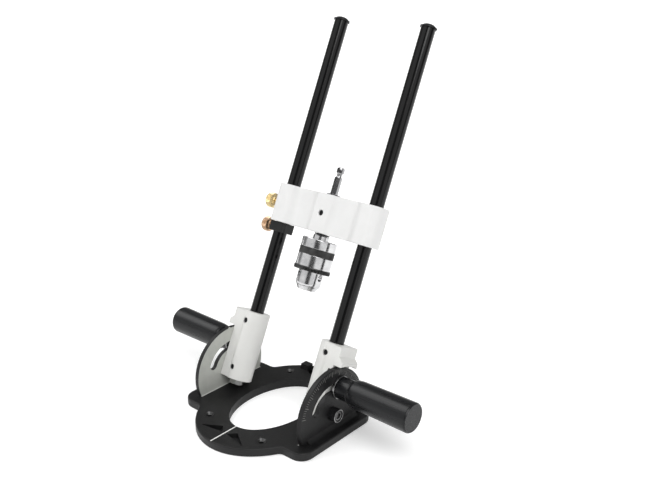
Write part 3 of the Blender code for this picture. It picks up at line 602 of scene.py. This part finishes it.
def base_mesh():
    plate = prism("plate", base_outline(), 0, BASE_THICK, 1.3 * mm, steps=4)
    angles = [TURN * i / 128 for i in range(128)]
    opening = [(OPENING_X * math.cos(a), OPENING_Y * math.sin(a)) for a in angles]
    changes = [("-", prism("opening", opening, -mm, BASE_THICK + mm))]
    changes += cheek_changes(-1) + cheek_changes(1)
    for sign_x in (-1, 1):
        for sign_y in (-1, 1):
            changes += quarter_cuts(sign_x, sign_y)
    changes += [("+", back_lug(-1)), ("+", back_lug(1))]
    groove = box("groove", (-LINE_HALF_WIDTH, -(RING_Y + 3.6 * mm), BASE_THICK - LINE_DEPTH),
                 (LINE_HALF_WIDTH, -(OPENING_Y - 2 * mm), BASE_THICK + mm))
    return carve(plate, *changes, ("-", groove))


def paint_base(mesh):
    """Bare metal on the faced inner sides of the cheeks and in the countersinks."""
    for face in mesh.polygons:
        centre = face.center
        inner = abs(abs(centre.x) - CHEEK_INNER_X) < 0.05 * mm and abs(face.normal.x) > 0.9
        off_hole = math.hypot(abs(centre.x) - SCREW_X, abs(centre.y) - SCREW_Y)
        if inner and centre.z > BASE_THICK - 0.5 * mm:
            face.material_index = 1
        if off_hole < 5 * mm and 0.2 < face.normal.z < 0.95:
            face.material_index = 2


def make_base():
    mesh = base_mesh()
    finishes = [BLACK_PAINT, MACHINED, COUNTERSINK]
    piece("cast_base", mesh, finishes, "base", ["base_casting"], BASE_PLACE,
          bevel=0.45 * mm)
    paint_base(mesh)
    half = LINE_HALF_WIDTH - 0.02 * mm
    bottom, top = BASE_THICK - LINE_DEPTH + 0.05 * mm, BASE_THICK - 0.06 * mm
    fill = box("line_fill", (-half, -(RING_Y - 0.5 * mm), bottom),
               (half, -(OPENING_Y + 0.1 * mm), top), 0.05 * mm)
    piece("centre_line", fill, LINE_PAINT, "base", matrix=BASE_PLACE)


def make_foot_land(side, sign):
    """The narrow bare land that facing the cheek left on the base at the cheek's foot."""
    half_length = 41 * mm
    near, far = sorted((sign * (CHEEK_INNER_X - 0.8 * mm), sign * (CHEEK_INNER_X - 0.04 * mm)))
    land = box("land", (near, CHEEK_Y - half_length, BASE_THICK - 0.1 * mm),
               (far, CHEEK_Y + half_length, BASE_THICK + 0.14 * mm), 0.05 * mm)
    piece(f"{side}_foot_land", land, BARE_EDGE, "base", matrix=BASE_PLACE)


def make_scale(side, sign):
    """Raised degree marks round the cheek's outer rim, long at each fifteen degrees."""
    marks = bmesh.new()
    for degrees in range(-75, 76, 3):
        long = degrees % 15 == 0
        inner = CHEEK_RADIUS - (6.2 if long else 4.2) * mm
        outer = CHEEK_RADIUS - 1.2 * mm
        half = (0.34 if long else 0.24) * mm
        bar = bmesh.ops.create_cube(marks, size=1.0)["verts"]
        bmesh.ops.scale(marks, vec=(2 * half, outer - inner, 0.7 * mm), verts=bar)
        bmesh.ops.translate(marks, vec=(0, (outer + inner) / 2, 0), verts=bar)
        bmesh.ops.rotate(marks, cent=(0, 0, 0), matrix=spin(degrees, "Z"), verts=bar)
    mesh = moved(to_mesh(marks, "marks"), ALONG_X, shift(sign * CHEEK_OUTER_X, CHEEK_Y, PIVOT.z))
    piece(f"{side}_scale_marks", mesh, SCALE_PAINT, "base",
          matrix=BASE_PLACE, bevel=0.12 * mm)


# Mast: brackets, rods and their fasteners


def bracket_outline():
    """A round boss about the rod, run into a block that reaches out to the lip."""
    reach, half = LIP_OUTER_X - ROD_X, FLANGE_HALF_DEPTH
    start = math.pi - math.asin(half / BOSS_RADIUS)
    inner = arc((0, 0), BOSS_RADIUS, start - 0.9, TURN - start + 0.9, 48)
    inner = [(x, y) for x, y in inner if x < 1 * mm]
    outer = [(3 * mm, -half, 0), (reach, -half), (reach, half), (3 * mm, half, 0)]
    return inner + soften(outer, 1.4 * mm, False, 5)


def make_bracket(side, sign):
    """The lip passes over the cheek's rim, which lies in the round sweep cut out of the bracket."""
    low, high = BRACKET_LOW.z, BRACKET_HIGH.z
    mesh = prism("bracket", bracket_outline(), low, high, 0.7 * mm)
    face = CHEEK_INNER_X - GAP - ROD_X
    sweep = moved(cylinder_cut(LIP_REACH, face, 40 * mm, segments=180), spin(90, "Y"))
    drop = (COLLAR_START - LIP_TOP) / (LIP_OUTER_X - COLLAR_OUTER_X)
    collar, beyond = COLLAR_OUTER_X - ROD_X, LIP_OUTER_X - ROD_X + 8 * mm
    slope = [(collar, COLLAR_START), (beyond, COLLAR_START - drop * (beyond - collar))]
    slope += [(beyond, high + 5 * mm), (collar, high + 5 * mm)]
    shoulder = prism("shoulder", slope, -20 * mm, 20 * mm)
    cuts = [("-", sweep), ("-", moved(shoulder, TO_FRONT))]
    cuts.append(("-", cylinder_cut(ROD_RADIUS + GAP, -2.4 * mm, high + mm, high, 64)))
    cuts.append(("-", cylinder_cut(BOLT_RADIUS + GAP, low - mm, 0)))
    for height in SET_SCREW_HEIGHTS:
        hole = cylinder_cut(SET_SCREW_RADIUS + GAP, 0, 17 * mm, BOSS_RADIUS)
        cuts.append(("-", moved(hole, TO_FRONT, shift(0, 0, height))))
    for height in (0.0, SLOT_RADIUS):
        hole = cylinder_cut(BOLT_RADIUS + GAP, BRACKET_HOLE_START_X - ROD_X, 20 * mm)
        cuts.append(("-", moved(hole, spin(90, "Y"), shift(0, 0, height))))
    mesh = moved(carve(mesh, *cuts), shift(ROD_X))
    if sign < 0:
        mesh = moved(mesh, SIDE_MIRROR)
    piece(f"{side}_mast_bracket", mesh, BRACKET_PAINT, "mast", [f"{side}_bracket"],
          bevel=0.4 * mm)


def make_set_screw(name, body, node, place, inner, outer):
    """A headless screw with a hexagon socket, from its inner tip to its outer face."""
    r, socket, depth = SET_SCREW_RADIUS, 2.4 * mm, 1.4 * mm
    sides = hexagon(socket)
    points = [(0, outer - depth - 0.6 * mm), (PAST_ALL, outer - depth, sides)]
    points += [(PAST_ALL, outer - 0.25 * mm, sides), (socket * 0.62, outer)]
    points += [(r - 0.5 * mm, outer), (r - 0.1 * mm, outer - 0.35 * mm), (r, outer - 0.8 * mm)]
    points += [(r, inner + 0.5 * mm), (r - 0.6 * mm, inner), (0, inner)]
    mesh = moved(lathe(name, points, 48), TO_FRONT, place)
    piece(name, mesh, BLACK_OXIDE, body, [node])


def make_bracket_screws(side, sign):
    for label, height in zip(("lower", "upper"), SET_SCREW_HEIGHTS):
        node = f"{side}_{label}_set_screw"
        low, high = mast_box(node)
        place = shift(sign * ROD_X, 0, height)
        make_set_screw(f"{side}_{label}_grub_screw", "mast", node, place, -high.y, -low.y)


def make_rod(side, sign):
    """A rod with a domed top, a groove for its clip and a tapped lower end."""
    top, bottom, r = ROD_HIGH.z, ROD_LOW.z, ROD_RADIUS
    groove_low, groove_high = CLIP_LOW.z - GAP, CLIP_HIGH.z + GAP
    groove_radius, bore = r - 0.8 * mm, 4.3 * mm
    dome, steps = 3.2 * mm, 10
    angles = [math.pi / 2 * (1 - i / steps) for i in range(1, steps + 1)]
    cap = [(0, top)] + [(r * math.cos(a), top - dome + dome * math.sin(a)) for a in angles]
    points = [point for point in cap if point[1] > groove_high] + [(r, groove_high)]
    points += [(groove_radius, groove_high - 0.05 * mm), (groove_radius, groove_low + 0.05 * mm)]
    points += [(r, groove_low), (r, groove_low - 0.5 * mm), (r, bottom + mm), (r - mm, bottom)]
    points += [(bore, bottom), (bore, 14 * mm), (0, 16 * mm)]
    mesh = moved(lathe("rod", points, 128), shift(sign * ROD_X), MAST)
    piece(f"{side}_guide_rod", mesh, ROD_BLACK, "mast", [f"{side}_rod"], WORLD)


def make_rod_clip(side, sign):
    low, high = CLIP_LOW.z, CLIP_HIGH.z
    inner, outer = 6.5 * mm, 8.3 * mm
    corners = [(outer, high), (outer, low), (inner, low), (inner, high)]
    clip = turned("clip", corners, 0.2 * mm, 72, True)
    mouth = box("mouth", (-2.2 * mm, 0, low - mm), (2.2 * mm, 12 * mm, high + mm))
    clip = carve(clip, ("-", moved(mouth, spin(-50, "Z"))))
    clip = moved(clip, shift(sign * ROD_X), MAST)
    piece(f"{side}_snap_ring", clip, BLACK_OXIDE, "mast", [f"{side}_rod_clip"],
          WORLD)


def make_guide(side, sign):
    make_rod(side, sign)
    make_rod_clip(side, sign)


def make_rod_bolt(side, sign):
    flats, shank = 13 * mm, 4 * mm
    head = hexagon(flats)
    high = BRACKET_LOW.z - GAP
    low, tip = high - 5.3 * mm, 11 * mm
    corner = flats / math.cos(math.pi / 6) / 2
    points = [(0, tip), (shank - 0.6 * mm, tip), (shank, tip - 0.6 * mm), (shank, high)]
    points += [(corner - 0.7 * mm, high, head), (corner, high - 0.45 * mm, head)]
    points += [(corner, low + 0.5 * mm, head), (corner - 0.9 * mm, low, head), (5.6 * mm, low)]
    points += [(5.2 * mm, low + 0.25 * mm), (0, low + 0.25 * mm)]
    mesh = moved(lathe("bolt", points, 96), shift(sign * ROD_X))
    piece(f"{side}_hex_bolt", mesh, ZINC, "mast", [f"{side}_rod_bolt"])


def make_pivot_screw(side, sign):
    """A black socket screw whose worn rims shine: round the head's edge and round the socket."""
    low, high = mast_box(f"{side}_pivot_screw")
    tip, end = sorted((abs(low.x), abs(high.x)))
    start = end - 8 * mm
    radius, shank = 6.5 * mm, 4 * mm
    rim_radius, socket_radius = 5.3 * mm, 3.9 * mm
    sides = hexagon(6 * mm)
    knurl = ridges(radius, 48, 0.2 * mm)
    points = [(0, end - 2.6 * mm), (PAST_ALL, end - 2.4 * mm, sides)]
    points += [(PAST_ALL, end - 0.9 * mm, sides), (3.8 * mm, end - 0.7 * mm)]
    points += [(5.2 * mm, end - 0.7 * mm), (5.4 * mm, end - 0.1 * mm), (5.5 * mm, end)]
    points += [(6.1 * mm, end), (6.4 * mm, end - 0.3 * mm), (radius, end - 0.7 * mm, knurl)]
    points += [(radius, start + 1.0 * mm, knurl), (radius - 0.1 * mm, start + 0.8 * mm)]
    points += [(radius - 0.1 * mm, start), (shank, start), (shank, tip + 0.6 * mm)]
    points += [(shank - 0.6 * mm, tip), (0, tip)]
    mesh = moved(lathe("pivot", points, 192), to_side(sign))
    piece(f"{side}_cap_screw", mesh, [BLACK_OXIDE, RIM_STEEL], "mast", [f"{side}_pivot_screw"])
    for face in mesh.polygons:
        out, depth = math.hypot(face.center.y, face.center.z), end - abs(face.center.x)
        rim = out > rim_radius and depth < 0.5 * mm
        socket = out < socket_radius and depth < 4.6 * mm
        if rim or socket:
            face.material_index = 1


def handle_place(sign):
    return to_side(sign), shift(0, 0, SLOT_RADIUS)


def make_grip(side, sign):
    """A slightly waisted grip with a rounded end, a narrow groove and a collar."""
    end, start, collar = GRIP_HIGH.x, HANDLE_START_X, GRIP_LOW.x
    grip = [
        (0, end - 0.2 * mm), (12.3 * mm, end - 0.2 * mm, 0.2 * mm), (12.5 * mm, end, 0.2 * mm),
        (12.9 * mm, end, 0.4 * mm), (13.9 * mm, end - 1.3 * mm, 1.0 * mm),
        (13.9 * mm, end - 5 * mm, 0.5 * mm), (13.3 * mm, start + 7 * mm, 4 * mm),
        (12.7 * mm, start + 2 * mm, 1.6 * mm), (11.5 * mm, start, 0.7 * mm),
        (10.7 * mm, start - 0.1 * mm, 0.3 * mm), (10.1 * mm, start - 0.6 * mm, 0.3 * mm),
        (10.1 * mm, start - 1.5 * mm, 0.3 * mm), (10.6 * mm, start - 2.0 * mm, 0.4 * mm),
        (10.6 * mm, collar + 1.0 * mm, 0.5 * mm), (9.9 * mm, collar, 0.4 * mm),
        (HANDLE_BORE, collar, 0.2 * mm), (HANDLE_BORE, 101 * mm, 0.2 * mm), (0, 103 * mm),
    ]
    mesh = moved(lathe("grip", soften(grip, mm, False, 4), 96), *handle_place(sign))
    piece(f"{side}_grip", mesh, GRIP, f"{side}_handle", [f"{side}_handle_grip"])


def make_stud(side, sign):
    low, high, r, chamfer = 61.2 * mm, 100 * mm, 4 * mm, 0.5 * mm
    stud = [(0, high), (r - chamfer, high), (r, high - chamfer), (r, low + chamfer)]
    stud += [(r - chamfer, low), (0, low)]
    mesh = moved(lathe("stud", stud, 48), *handle_place(sign))
    piece(f"{side}_stud", mesh, BLACK_OXIDE, f"{side}_handle", [f"{side}_handle_stud"])


def make_handle_washer(side, sign):
    low, high = mast_box(f"{side}_handle_washer")
    near, far = sorted((abs(low.x), abs(high.x)))
    outer = (high.z - low.z) / 2
    mesh = washer("washer", HANDLE_BORE, outer, near, far, 0.4 * mm)
    mesh = moved(mesh, *handle_place(sign))
    piece(f"{side}_washer", mesh, WASHER_STEEL, f"{side}_handle", [f"{side}_handle_washer"])


def make_handle(side, sign):
    make_grip(side, sign)
    make_stud(side, sign)
    make_handle_washer(side, sign)


# Carriage and depth stop


def carriage_outline():
    deep, end = CARRIAGE_HIGH.y, CARRIAGE_HIGH.x
    thin = 7.2 * mm
    quarter = [
        (end, 0, 0), (end, deep - 5.2 * mm, 1.6 * mm), (end - 5.2 * mm, deep, 1.6 * mm),
        (45.0 * mm, deep, 2 * mm), (41.6 * mm, deep - 1.0 * mm, 2 * mm), (36.4 * mm, thin, 3 * mm),
        (22.0 * mm, thin + 0.6 * mm, 5 * mm), (15.5 * mm, thin + 1.5 * mm, 2 * mm),
        (12.0 * mm, deep - 1.9 * mm, 1.6 * mm), (9.5 * mm, deep, 1.2 * mm), (0, deep, 0),
    ]
    smooth = soften(quarter, mm, False, 6)
    return mirrored_outline(smooth[1:-1])


def make_carriage():
    low, high = CARRIAGE_LOW.z, CARRIAGE_HIGH.z
    middle = (low + high) / 2
    mesh = prism("carriage", carriage_outline(), low, high, 0.7 * mm)
    cuts = []
    rod_bore, spindle_bore = 9.7 * mm, 8.3 * mm
    mouth = (high - low) / 2 + mm
    inside = mouth - 1.5 * mm
    for x, radius in ((-ROD_X, rod_bore), (0.0, spindle_bore), (ROD_X, rod_bore)):
        wide = radius + 1.5 * mm
        lip = [(0, mouth), (wide, mouth), (radius, inside)]
        lip += [(radius, -inside), (wide, -mouth), (0, -mouth)]
        cuts.append(("-", moved(lathe("way", lip, 72), shift(x, 0, middle))))
    front = cylinder_cut(SET_SCREW_RADIUS + GAP, 0, 20 * mm, CARRIAGE_HIGH.y)
    cuts.append(("-", moved(front, TO_FRONT, shift(0, 0, middle))))
    side_hole = cylinder_cut(THUMB_HOLE_RADIUS, ROD_X, 70 * mm, CARRIAGE_HIGH.x)
    cuts.append(("-", moved(side_hole, to_side(-1), shift(0, 0, middle))))
    piece("carriage_casting", carve(mesh, *cuts), CARRIAGE_PAINT, "carriage", ["carriage_block"],
          bevel=0.2 * mm)
    low, high = mast_box("carriage_set_screw")
    place = shift(0, 0, middle)
    make_set_screw("carriage_grub_screw", "carriage", "carriage_set_screw", place, -high.y, -low.y)


def make_bush(node, x):
    low, high = mast_box(node)
    outer = (high.x - low.x) / 2
    spindle = abs(x) < mm
    inner = SPINDLE_WAY_RADIUS if spindle else ROD_WAY_RADIUS
    mesh = moved(washer("bush", inner, outer, low.z, high.z, 0.4 * mm), shift(x))
    finish = BLACK_OXIDE if spindle else BRONZE
    piece(f"{node}_sleeve", mesh, finish, "carriage", [node])


def make_bushes():
    for side, sign in (("left", -1), ("right", 1)):
        for level in ("lower", "upper"):
            make_bush(f"{side}_{level}_rod_bush", sign * ROD_X)
    for level in ("lower", "upper"):
        make_bush(f"{level}_spindle_bush", 0)


def make_thumb_screw(name, node, body, material):
    """A brass screw with a domed end, a straight knurl and a narrow neck."""
    low, high = mast_box(node)
    end, tip = -low.x, -high.x
    radius = (high.z - low.z) / 2
    start = end - THUMB_HEAD
    knurl = ridges(radius, 36, 0.55 * mm)
    cap = [(0, end), (radius * 0.45, end - 0.15 * mm), (radius * 0.72, end - 0.7 * mm)]
    cap += [(radius * 0.86, end - 1.5 * mm), (radius - 0.5 * mm, end - 2.3 * mm)]
    points = cap + [(radius, end - 2.9 * mm, knurl), (radius, start + 3.2 * mm, knurl)]
    points += [(radius - 0.6 * mm, start + 2.6 * mm), (radius - 1.6 * mm, start + 2.1 * mm)]
    points += [(5.0 * mm, start + 1.6 * mm), (5.0 * mm, start + 0.3 * mm), (4.7 * mm, start)]
    pitch = 0.8 * mm
    crest, root = 2.5 * mm, 2.15 * mm
    reach = start
    while reach - pitch > tip + 0.6 * mm:
        points += [(crest, reach - 0.2 * pitch), (root, reach - 0.7 * pitch)]
        reach -= pitch
    points += [(root, tip + 0.3 * mm), (root - 0.3 * mm, tip), (0, tip)]
    height = (low.z + high.z) / 2
    mesh = moved(lathe("thumb", points, 144), to_side(-1), shift(0, 0, height))
    piece(name, mesh, material, body, [node])


def make_stop():
    half_x = (STOP_HIGH.x - STOP_LOW.x) / 2
    half_y, corner = STOP_HIGH.y, 2.4 * mm
    middle = (STOP_LOW.x + STOP_HIGH.x) / 2
    corners = mirrored_outline([(half_x, half_y - corner), (half_x - corner, half_y)])
    mesh = prism("stop", soften(corners, 0.9 * mm), STOP_LOW.z, STOP_HIGH.z, 0.5 * mm)
    height = (STOP_LOW.z + STOP_HIGH.z) / 2
    way = cylinder_cut(ROD_WAY_RADIUS, STOP_LOW.z - mm, STOP_HIGH.z + mm, segments=72)
    hole = cylinder_cut(THUMB_HOLE_RADIUS, 0, 20 * mm)
    hole = moved(hole, to_side(-1), shift(0, 0, height))
    mesh = moved(carve(mesh, ("-", way), ("-", hole)), shift(middle))
    piece("depth_stop_block", mesh, BLACK_PAINT, "stop", ["depth_stop"],
          bevel=0.2 * mm)


# Spindle and chuck


def make_spindle():
    """A hexagonal shank with a ball groove, on a round shaft from its shoulder down."""
    high, low = SPINDLE_HIGH.z, SPINDLE_LOW.z
    flats = hexagon(SHANK_FLATS)
    corner = SHANK_FLATS / math.cos(math.pi / 6) / 2
    groove = SHANK_GROOVE_HEIGHT
    shoulder = CARRIAGE_HIGH.z + 1.5 * mm
    points = [(0, high), (2.6 * mm, high), (corner, high - 1.1 * mm, flats)]
    points += [(corner, groove + 2.6 * mm, flats), (2.9 * mm, groove + 2.0 * mm, flats)]
    points += [(2.45 * mm, groove + 1.2 * mm), (2.4 * mm, groove), (2.45 * mm, groove - 1.2 * mm)]
    points += [(2.9 * mm, groove - 2.0 * mm, flats), (corner, groove - 2.6 * mm, flats)]
    points += [(corner, shoulder + 0.2 * mm, flats), (corner + 0.3 * mm, shoulder + 0.1 * mm)]
    points += [(4.6 * mm, shoulder), (5 * mm, shoulder - 0.4 * mm), (5 * mm, low), (0, low)]
    mesh = moved(lathe("spindle", points, 96), spin(SHANK_TURN, "Z"))
    piece("spindle_shaft", mesh, SHANK_STEEL, "spindle", ["spindle"])


def make_spindle_rings():
    rings = (("spindle_snap_ring", "spindle_clip"), ("spindle_thrust_washer", "spindle_washer"))
    for name, node in rings:
        low, high = mast_box(node)
        mesh = washer(name, 5.3 * mm, (high.x - low.x) / 2, low.z, high.z, 0.2 * mm)
        piece(name, mesh, BLACK_OXIDE, "spindle", [node])


def make_chuck_body():
    """A nose with three leaning jaw ways and three key holes, under the sleeve."""
    top, mouth = CHUCK_HIGH.z, CHUCK_LOW.z
    nose, inside = 12.35 * mm, 14.9 * mm
    shelf = SLEEVE_LOW.z + 4.1 * mm
    neck = hexagon(15.6 * mm)
    points = [(0, top), (7.3 * mm, top), (8.0 * mm, top - 0.6 * mm, neck)]
    points += [(8.0 * mm, SLEEVE_HIGH.z + 0.4 * mm, neck), (8.0 * mm, SLEEVE_HIGH.z - GAP)]
    points += [(inside - 0.4 * mm, SLEEVE_HIGH.z - GAP), (inside, SLEEVE_HIGH.z - GAP - 0.4 * mm)]
    points += [(inside, shelf), (nose, shelf), (nose, mouth + 7.2 * mm)]
    points += arc((nose - 4 * mm, mouth + 6.6 * mm), 4 * mm, 0, -math.radians(52), 6)
    points += [(9.3 * mm, mouth + 0.5 * mm), (8.9 * mm, mouth + 0.1 * mm), (8.5 * mm, mouth)]
    points += [(0, mouth)]
    mesh = lathe("chuck", points, 120)
    cuts = [("-", cylinder_cut(CHUCK_BORE, top - 13 * mm, top + mm))]
    bore = [(0, mouth + 30 * mm), (CHUCK_BORE, mouth + 30 * mm), (CHUCK_BORE, mouth + 0.7 * mm)]
    bore += [(6.6 * mm, mouth - 0.6 * mm), (0, mouth - 0.6 * mm)]
    cuts.append(("-", lathe("bore", bore, 64)))
    for i in range(3):
        about = spin(JAW_TURN + 120 * i, "Z")
        way = cylinder_cut(3.2 * mm, -8 * mm, 38.8 * mm)
        cuts.append(("-", moved(way, spin(JAW_LEAN, "Y"), shift(2.6 * mm, 0, mouth), about)))
        key = [(0, 15), (3.5, 15), (3.5, 12.3), (3.2, 11.9), (3.2, 9.6), (0, 9.6)]
        hole = lathe("key", [(r * mm, z * mm) for r, z in key], 40)
        about = spin(KEY_HOLE_TURN + 120 * i, "Z")
        cuts.append(("-", moved(hole, spin(90, "Y"), shift(0, 0, KEY_HOLE_HEIGHT), about)))
    piece("chuck_nose", carve(mesh, *cuts), STEEL, "spindle", ["chuck_body"],
          angle=28)


def make_sleeve():
    """Polished bands above and below a black knurled band, and a black ring of key teeth."""
    top, bottom = SLEEVE_HIGH.z, SLEEVE_LOW.z
    r, lip, inner = 17.25 * mm, 12.65 * mm, 15.3 * mm
    toothed, crown = 18.0 * mm, 17.4 * mm
    knurl = ridges(r - 0.02 * mm, 96, 0.28 * mm)
    teeth = ridges(toothed, 36, 1.7 * mm)
    crown_teeth = ridges(crown, 36, 2.2 * mm)
    band_high, band_low = top - 9.1 * mm, top - 16.2 * mm
    ring = bottom + 4.0 * mm
    points = [(inner, top), (r - 0.9 * mm, top), (r - 0.3 * mm, top - 0.25 * mm)]
    points += [(r, top - 0.9 * mm), (r, band_high + 0.3 * mm), (r - 0.3 * mm, band_high)]
    points += [(r, band_high - 0.35 * mm, knurl), (r, band_low + 0.35 * mm, knurl)]
    points += [(r - 0.3 * mm, band_low), (r, band_low - 0.3 * mm), (r, ring + 0.3 * mm)]
    points += [(r - 0.15 * mm, ring + 0.05 * mm), (toothed - 0.3 * mm, ring)]
    points += [(toothed, ring - 0.3 * mm), (toothed, ring - 0.9 * mm)]
    points += [(toothed, ring - 1.1 * mm, teeth), (toothed, bottom + 0.9 * mm, teeth)]
    points += [(crown, bottom, crown_teeth), (14.6 * mm, bottom)]
    points += [(14.2 * mm, bottom + 0.4 * mm), (lip + 0.2 * mm, bottom + 0.4 * mm)]
    points += [(lip, bottom + 0.6 * mm), (lip, bottom + 3.8 * mm), (inner, bottom + 3.8 * mm)]
    mesh = lathe("sleeve", points, 576, True)
    piece("chuck_ring_sleeve", mesh, [STEEL, KNURL_BLACK], "sleeve", ["chuck_sleeve"],
          angle=50)
    for face in mesh.polygons:
        height = face.center.z
        if band_low < height < band_high or height < ring + 0.1 * mm:
            face.material_index = 1


def finish_jaws():
    """The CAD's own jaws stay as they are and take the chuck's steel."""
    for number in (1, 2, 3):
        for slot in frame["nodes"][f"chuck_jaw_{number}"].material_slots:
            slot.material = STEEL


# Floor, light and camera


# Angles are in degrees here, and the floor's reach in metres

FLOOR_REACH = 30.0
SCREENS = [
    (-180, 0.35), (-152, 0.4), (-145, 1.4), (-84, 1.4), (-77, 0.08), (-46, 0.08), (-40, 1.5),
    (3, 1.5), (8, 0.1), (24, 0.1), (30, 0.62), (105, 0.62), (120, 0.4), (180, 0.35),
]
SCREEN_TOPS = (50, 60)
SOFT_BOX_WAY = Vector((-0.58, -0.2, 0.79)).normalized()
SOFT_BOX_SPREAD = (23, 15)
SOFT_BOX_LEVEL = 6
WORLD_STRENGTH = 0.62
SUN_STRENGTH = 1.5
SUN_SPREAD = 42
SUN_WAY = Vector((-0.7, 0.42, -0.95))


def make_floor():
    bm = bmesh.new()
    bmesh.ops.create_grid(bm, x_segments=4, y_segments=4, size=FLOOR_REACH)
    floor = bpy.data.objects.new("floor", to_mesh(bm, "floor"))
    floor.data.materials.append(pale_floor())
    floor.location.z = -0.1 * mm
    bpy.context.scene.collection.objects.link(floor)


class Sky:
    """A short way to add and join the nodes of the world."""

    def __init__(self, tree):
        self.tree = tree
        self.direction = self.add("ShaderNodeTexCoord").outputs["Generated"]
        self.parts = self.add("ShaderNodeSeparateXYZ")
        self.join(self.direction, self.parts.inputs["Vector"])

    def add(self, kind):
        return self.tree.nodes.new(kind)

    def join(self, start, end):
        self.tree.links.new(start, end)

    def between(self, value, start, end):
        """Nought below the start, one above the end."""
        node = self.add("ShaderNodeMapRange")
        node.inputs["From Min"].default_value = start
        node.inputs["From Max"].default_value = end
        self.join(value, node.inputs["Value"])
        return node.outputs["Result"]

    def blend(self, factor, colour, level):
        """The colour where the factor is nought, an even light of that level where it is one."""
        node = self.add("ShaderNodeMix")
        node.data_type = "RGBA"
        self.join(factor, node.inputs["Factor"])
        self.join(colour, node.inputs[6])
        node.inputs[7].default_value = (level, level, level, 1)
        return node.outputs[2]

    def screens(self):
        """Upright screens round the horizon. Each stop is an azimuth and a brightness."""
        azimuth = self.add("ShaderNodeMath")
        azimuth.operation = "ARCTAN2"
        self.join(self.parts.outputs["Y"], azimuth.inputs[0])
        self.join(self.parts.outputs["X"], azimuth.inputs[1])
        ramp = self.add("ShaderNodeValToRGB")
        elements = ramp.color_ramp.elements
        while len(elements) < len(SCREENS):
            elements.new(0.5)
        for element, (degrees, level) in zip(elements, SCREENS):
            element.position = (degrees + 180) / 360
            element.color = (level, level, level, 1)
        around = self.between(azimuth.outputs["Value"], -math.pi, math.pi)
        self.join(around, ramp.inputs["Fac"])
        return ramp.outputs["Color"]

    def near_soft_box(self):
        """One inside the round soft box, nought outside it."""
        toward = self.add("ShaderNodeVectorMath")
        toward.operation = "DOT_PRODUCT"
        self.join(self.direction, toward.inputs[0])
        toward.inputs[1].default_value = SOFT_BOX_WAY
        outside, inside = [math.cos(math.radians(angle)) for angle in SOFT_BOX_SPREAD]
        return self.between(toward.outputs["Value"], outside, inside)


def make_world():
    """A bright studio with screens near the horizon. The camera itself sees plain white."""
    world = bpy.data.worlds.new("studio")
    bpy.context.scene.world = world
    world.use_nodes = True
    tree = world.node_tree
    sky = Sky(tree)
    start, end = [math.sin(math.radians(angle)) for angle in SCREEN_TOPS]
    overhead = sky.between(sky.parts.outputs["Z"], start, end)
    studio = sky.blend(overhead, sky.screens(), 1)
    studio = sky.blend(sky.near_soft_box(), studio, SOFT_BOX_LEVEL)
    background = tree.nodes["Background"]
    sky.join(studio, background.inputs["Color"])
    background.inputs["Strength"].default_value = WORLD_STRENGTH
    backdrop = sky.add("ShaderNodeBackground")
    backdrop.inputs["Color"].default_value = (1, 1, 1, 1)
    seen = sky.add("ShaderNodeMixShader")
    sky.join(sky.add("ShaderNodeLightPath").outputs["Is Camera Ray"], seen.inputs["Fac"])
    sky.join(background.outputs["Background"], seen.inputs[1])
    sky.join(backdrop.outputs["Background"], seen.inputs[2])
    sky.join(seen.outputs["Shader"], tree.nodes["World Output"].inputs["Surface"])


def make_sun():
    sun = bpy.data.objects.new("key", bpy.data.lights.new("key", "SUN"))
    sun.data.energy = SUN_STRENGTH
    sun.data.angle = math.radians(SUN_SPREAD)
    sun.rotation_euler = SUN_WAY.to_track_quat("-Z", "Y").to_euler()
    bpy.context.scene.collection.objects.link(sun)


def make_camera():
    camera = bpy.data.objects.new("camera", bpy.data.cameras.new("camera"))
    camera.location = (508.2 * mm, BASE_Y - 517.3 * mm, 439.4 * mm)
    camera.rotation_euler = (math.radians(69.94), 0, math.radians(40.97))
    camera.data.lens = 47.51
    camera.data.sensor_width = 36
    camera.data.clip_start = 0.01
    camera.data.clip_end = 100
    bpy.context.scene.collection.objects.link(camera)
    bpy.context.scene.camera = camera
    bpy.context.scene.view_settings.view_transform = "Standard"


make_camera()
make_floor()
make_world()
make_sun()
make_base()
both_sides(make_scale)
both_sides(make_foot_land)
both_sides(make_bracket)
both_sides(make_bracket_screws)
both_sides(make_guide)
both_sides(make_rod_bolt)
both_sides(make_pivot_screw)
both_sides(make_handle)
make_carriage()
make_bushes()
make_thumb_screw("carriage_thumb_knob", "carriage_thumb_screw", "carriage_screw", BRASS)
make_thumb_screw("stop_thumb_knob", "stop_thumb_screw", "stop_screw", BROWN_BRASS)
make_stop()
make_spindle()
make_spindle_rings()
make_chuck_body()
make_sleeve()
finish_jaws()
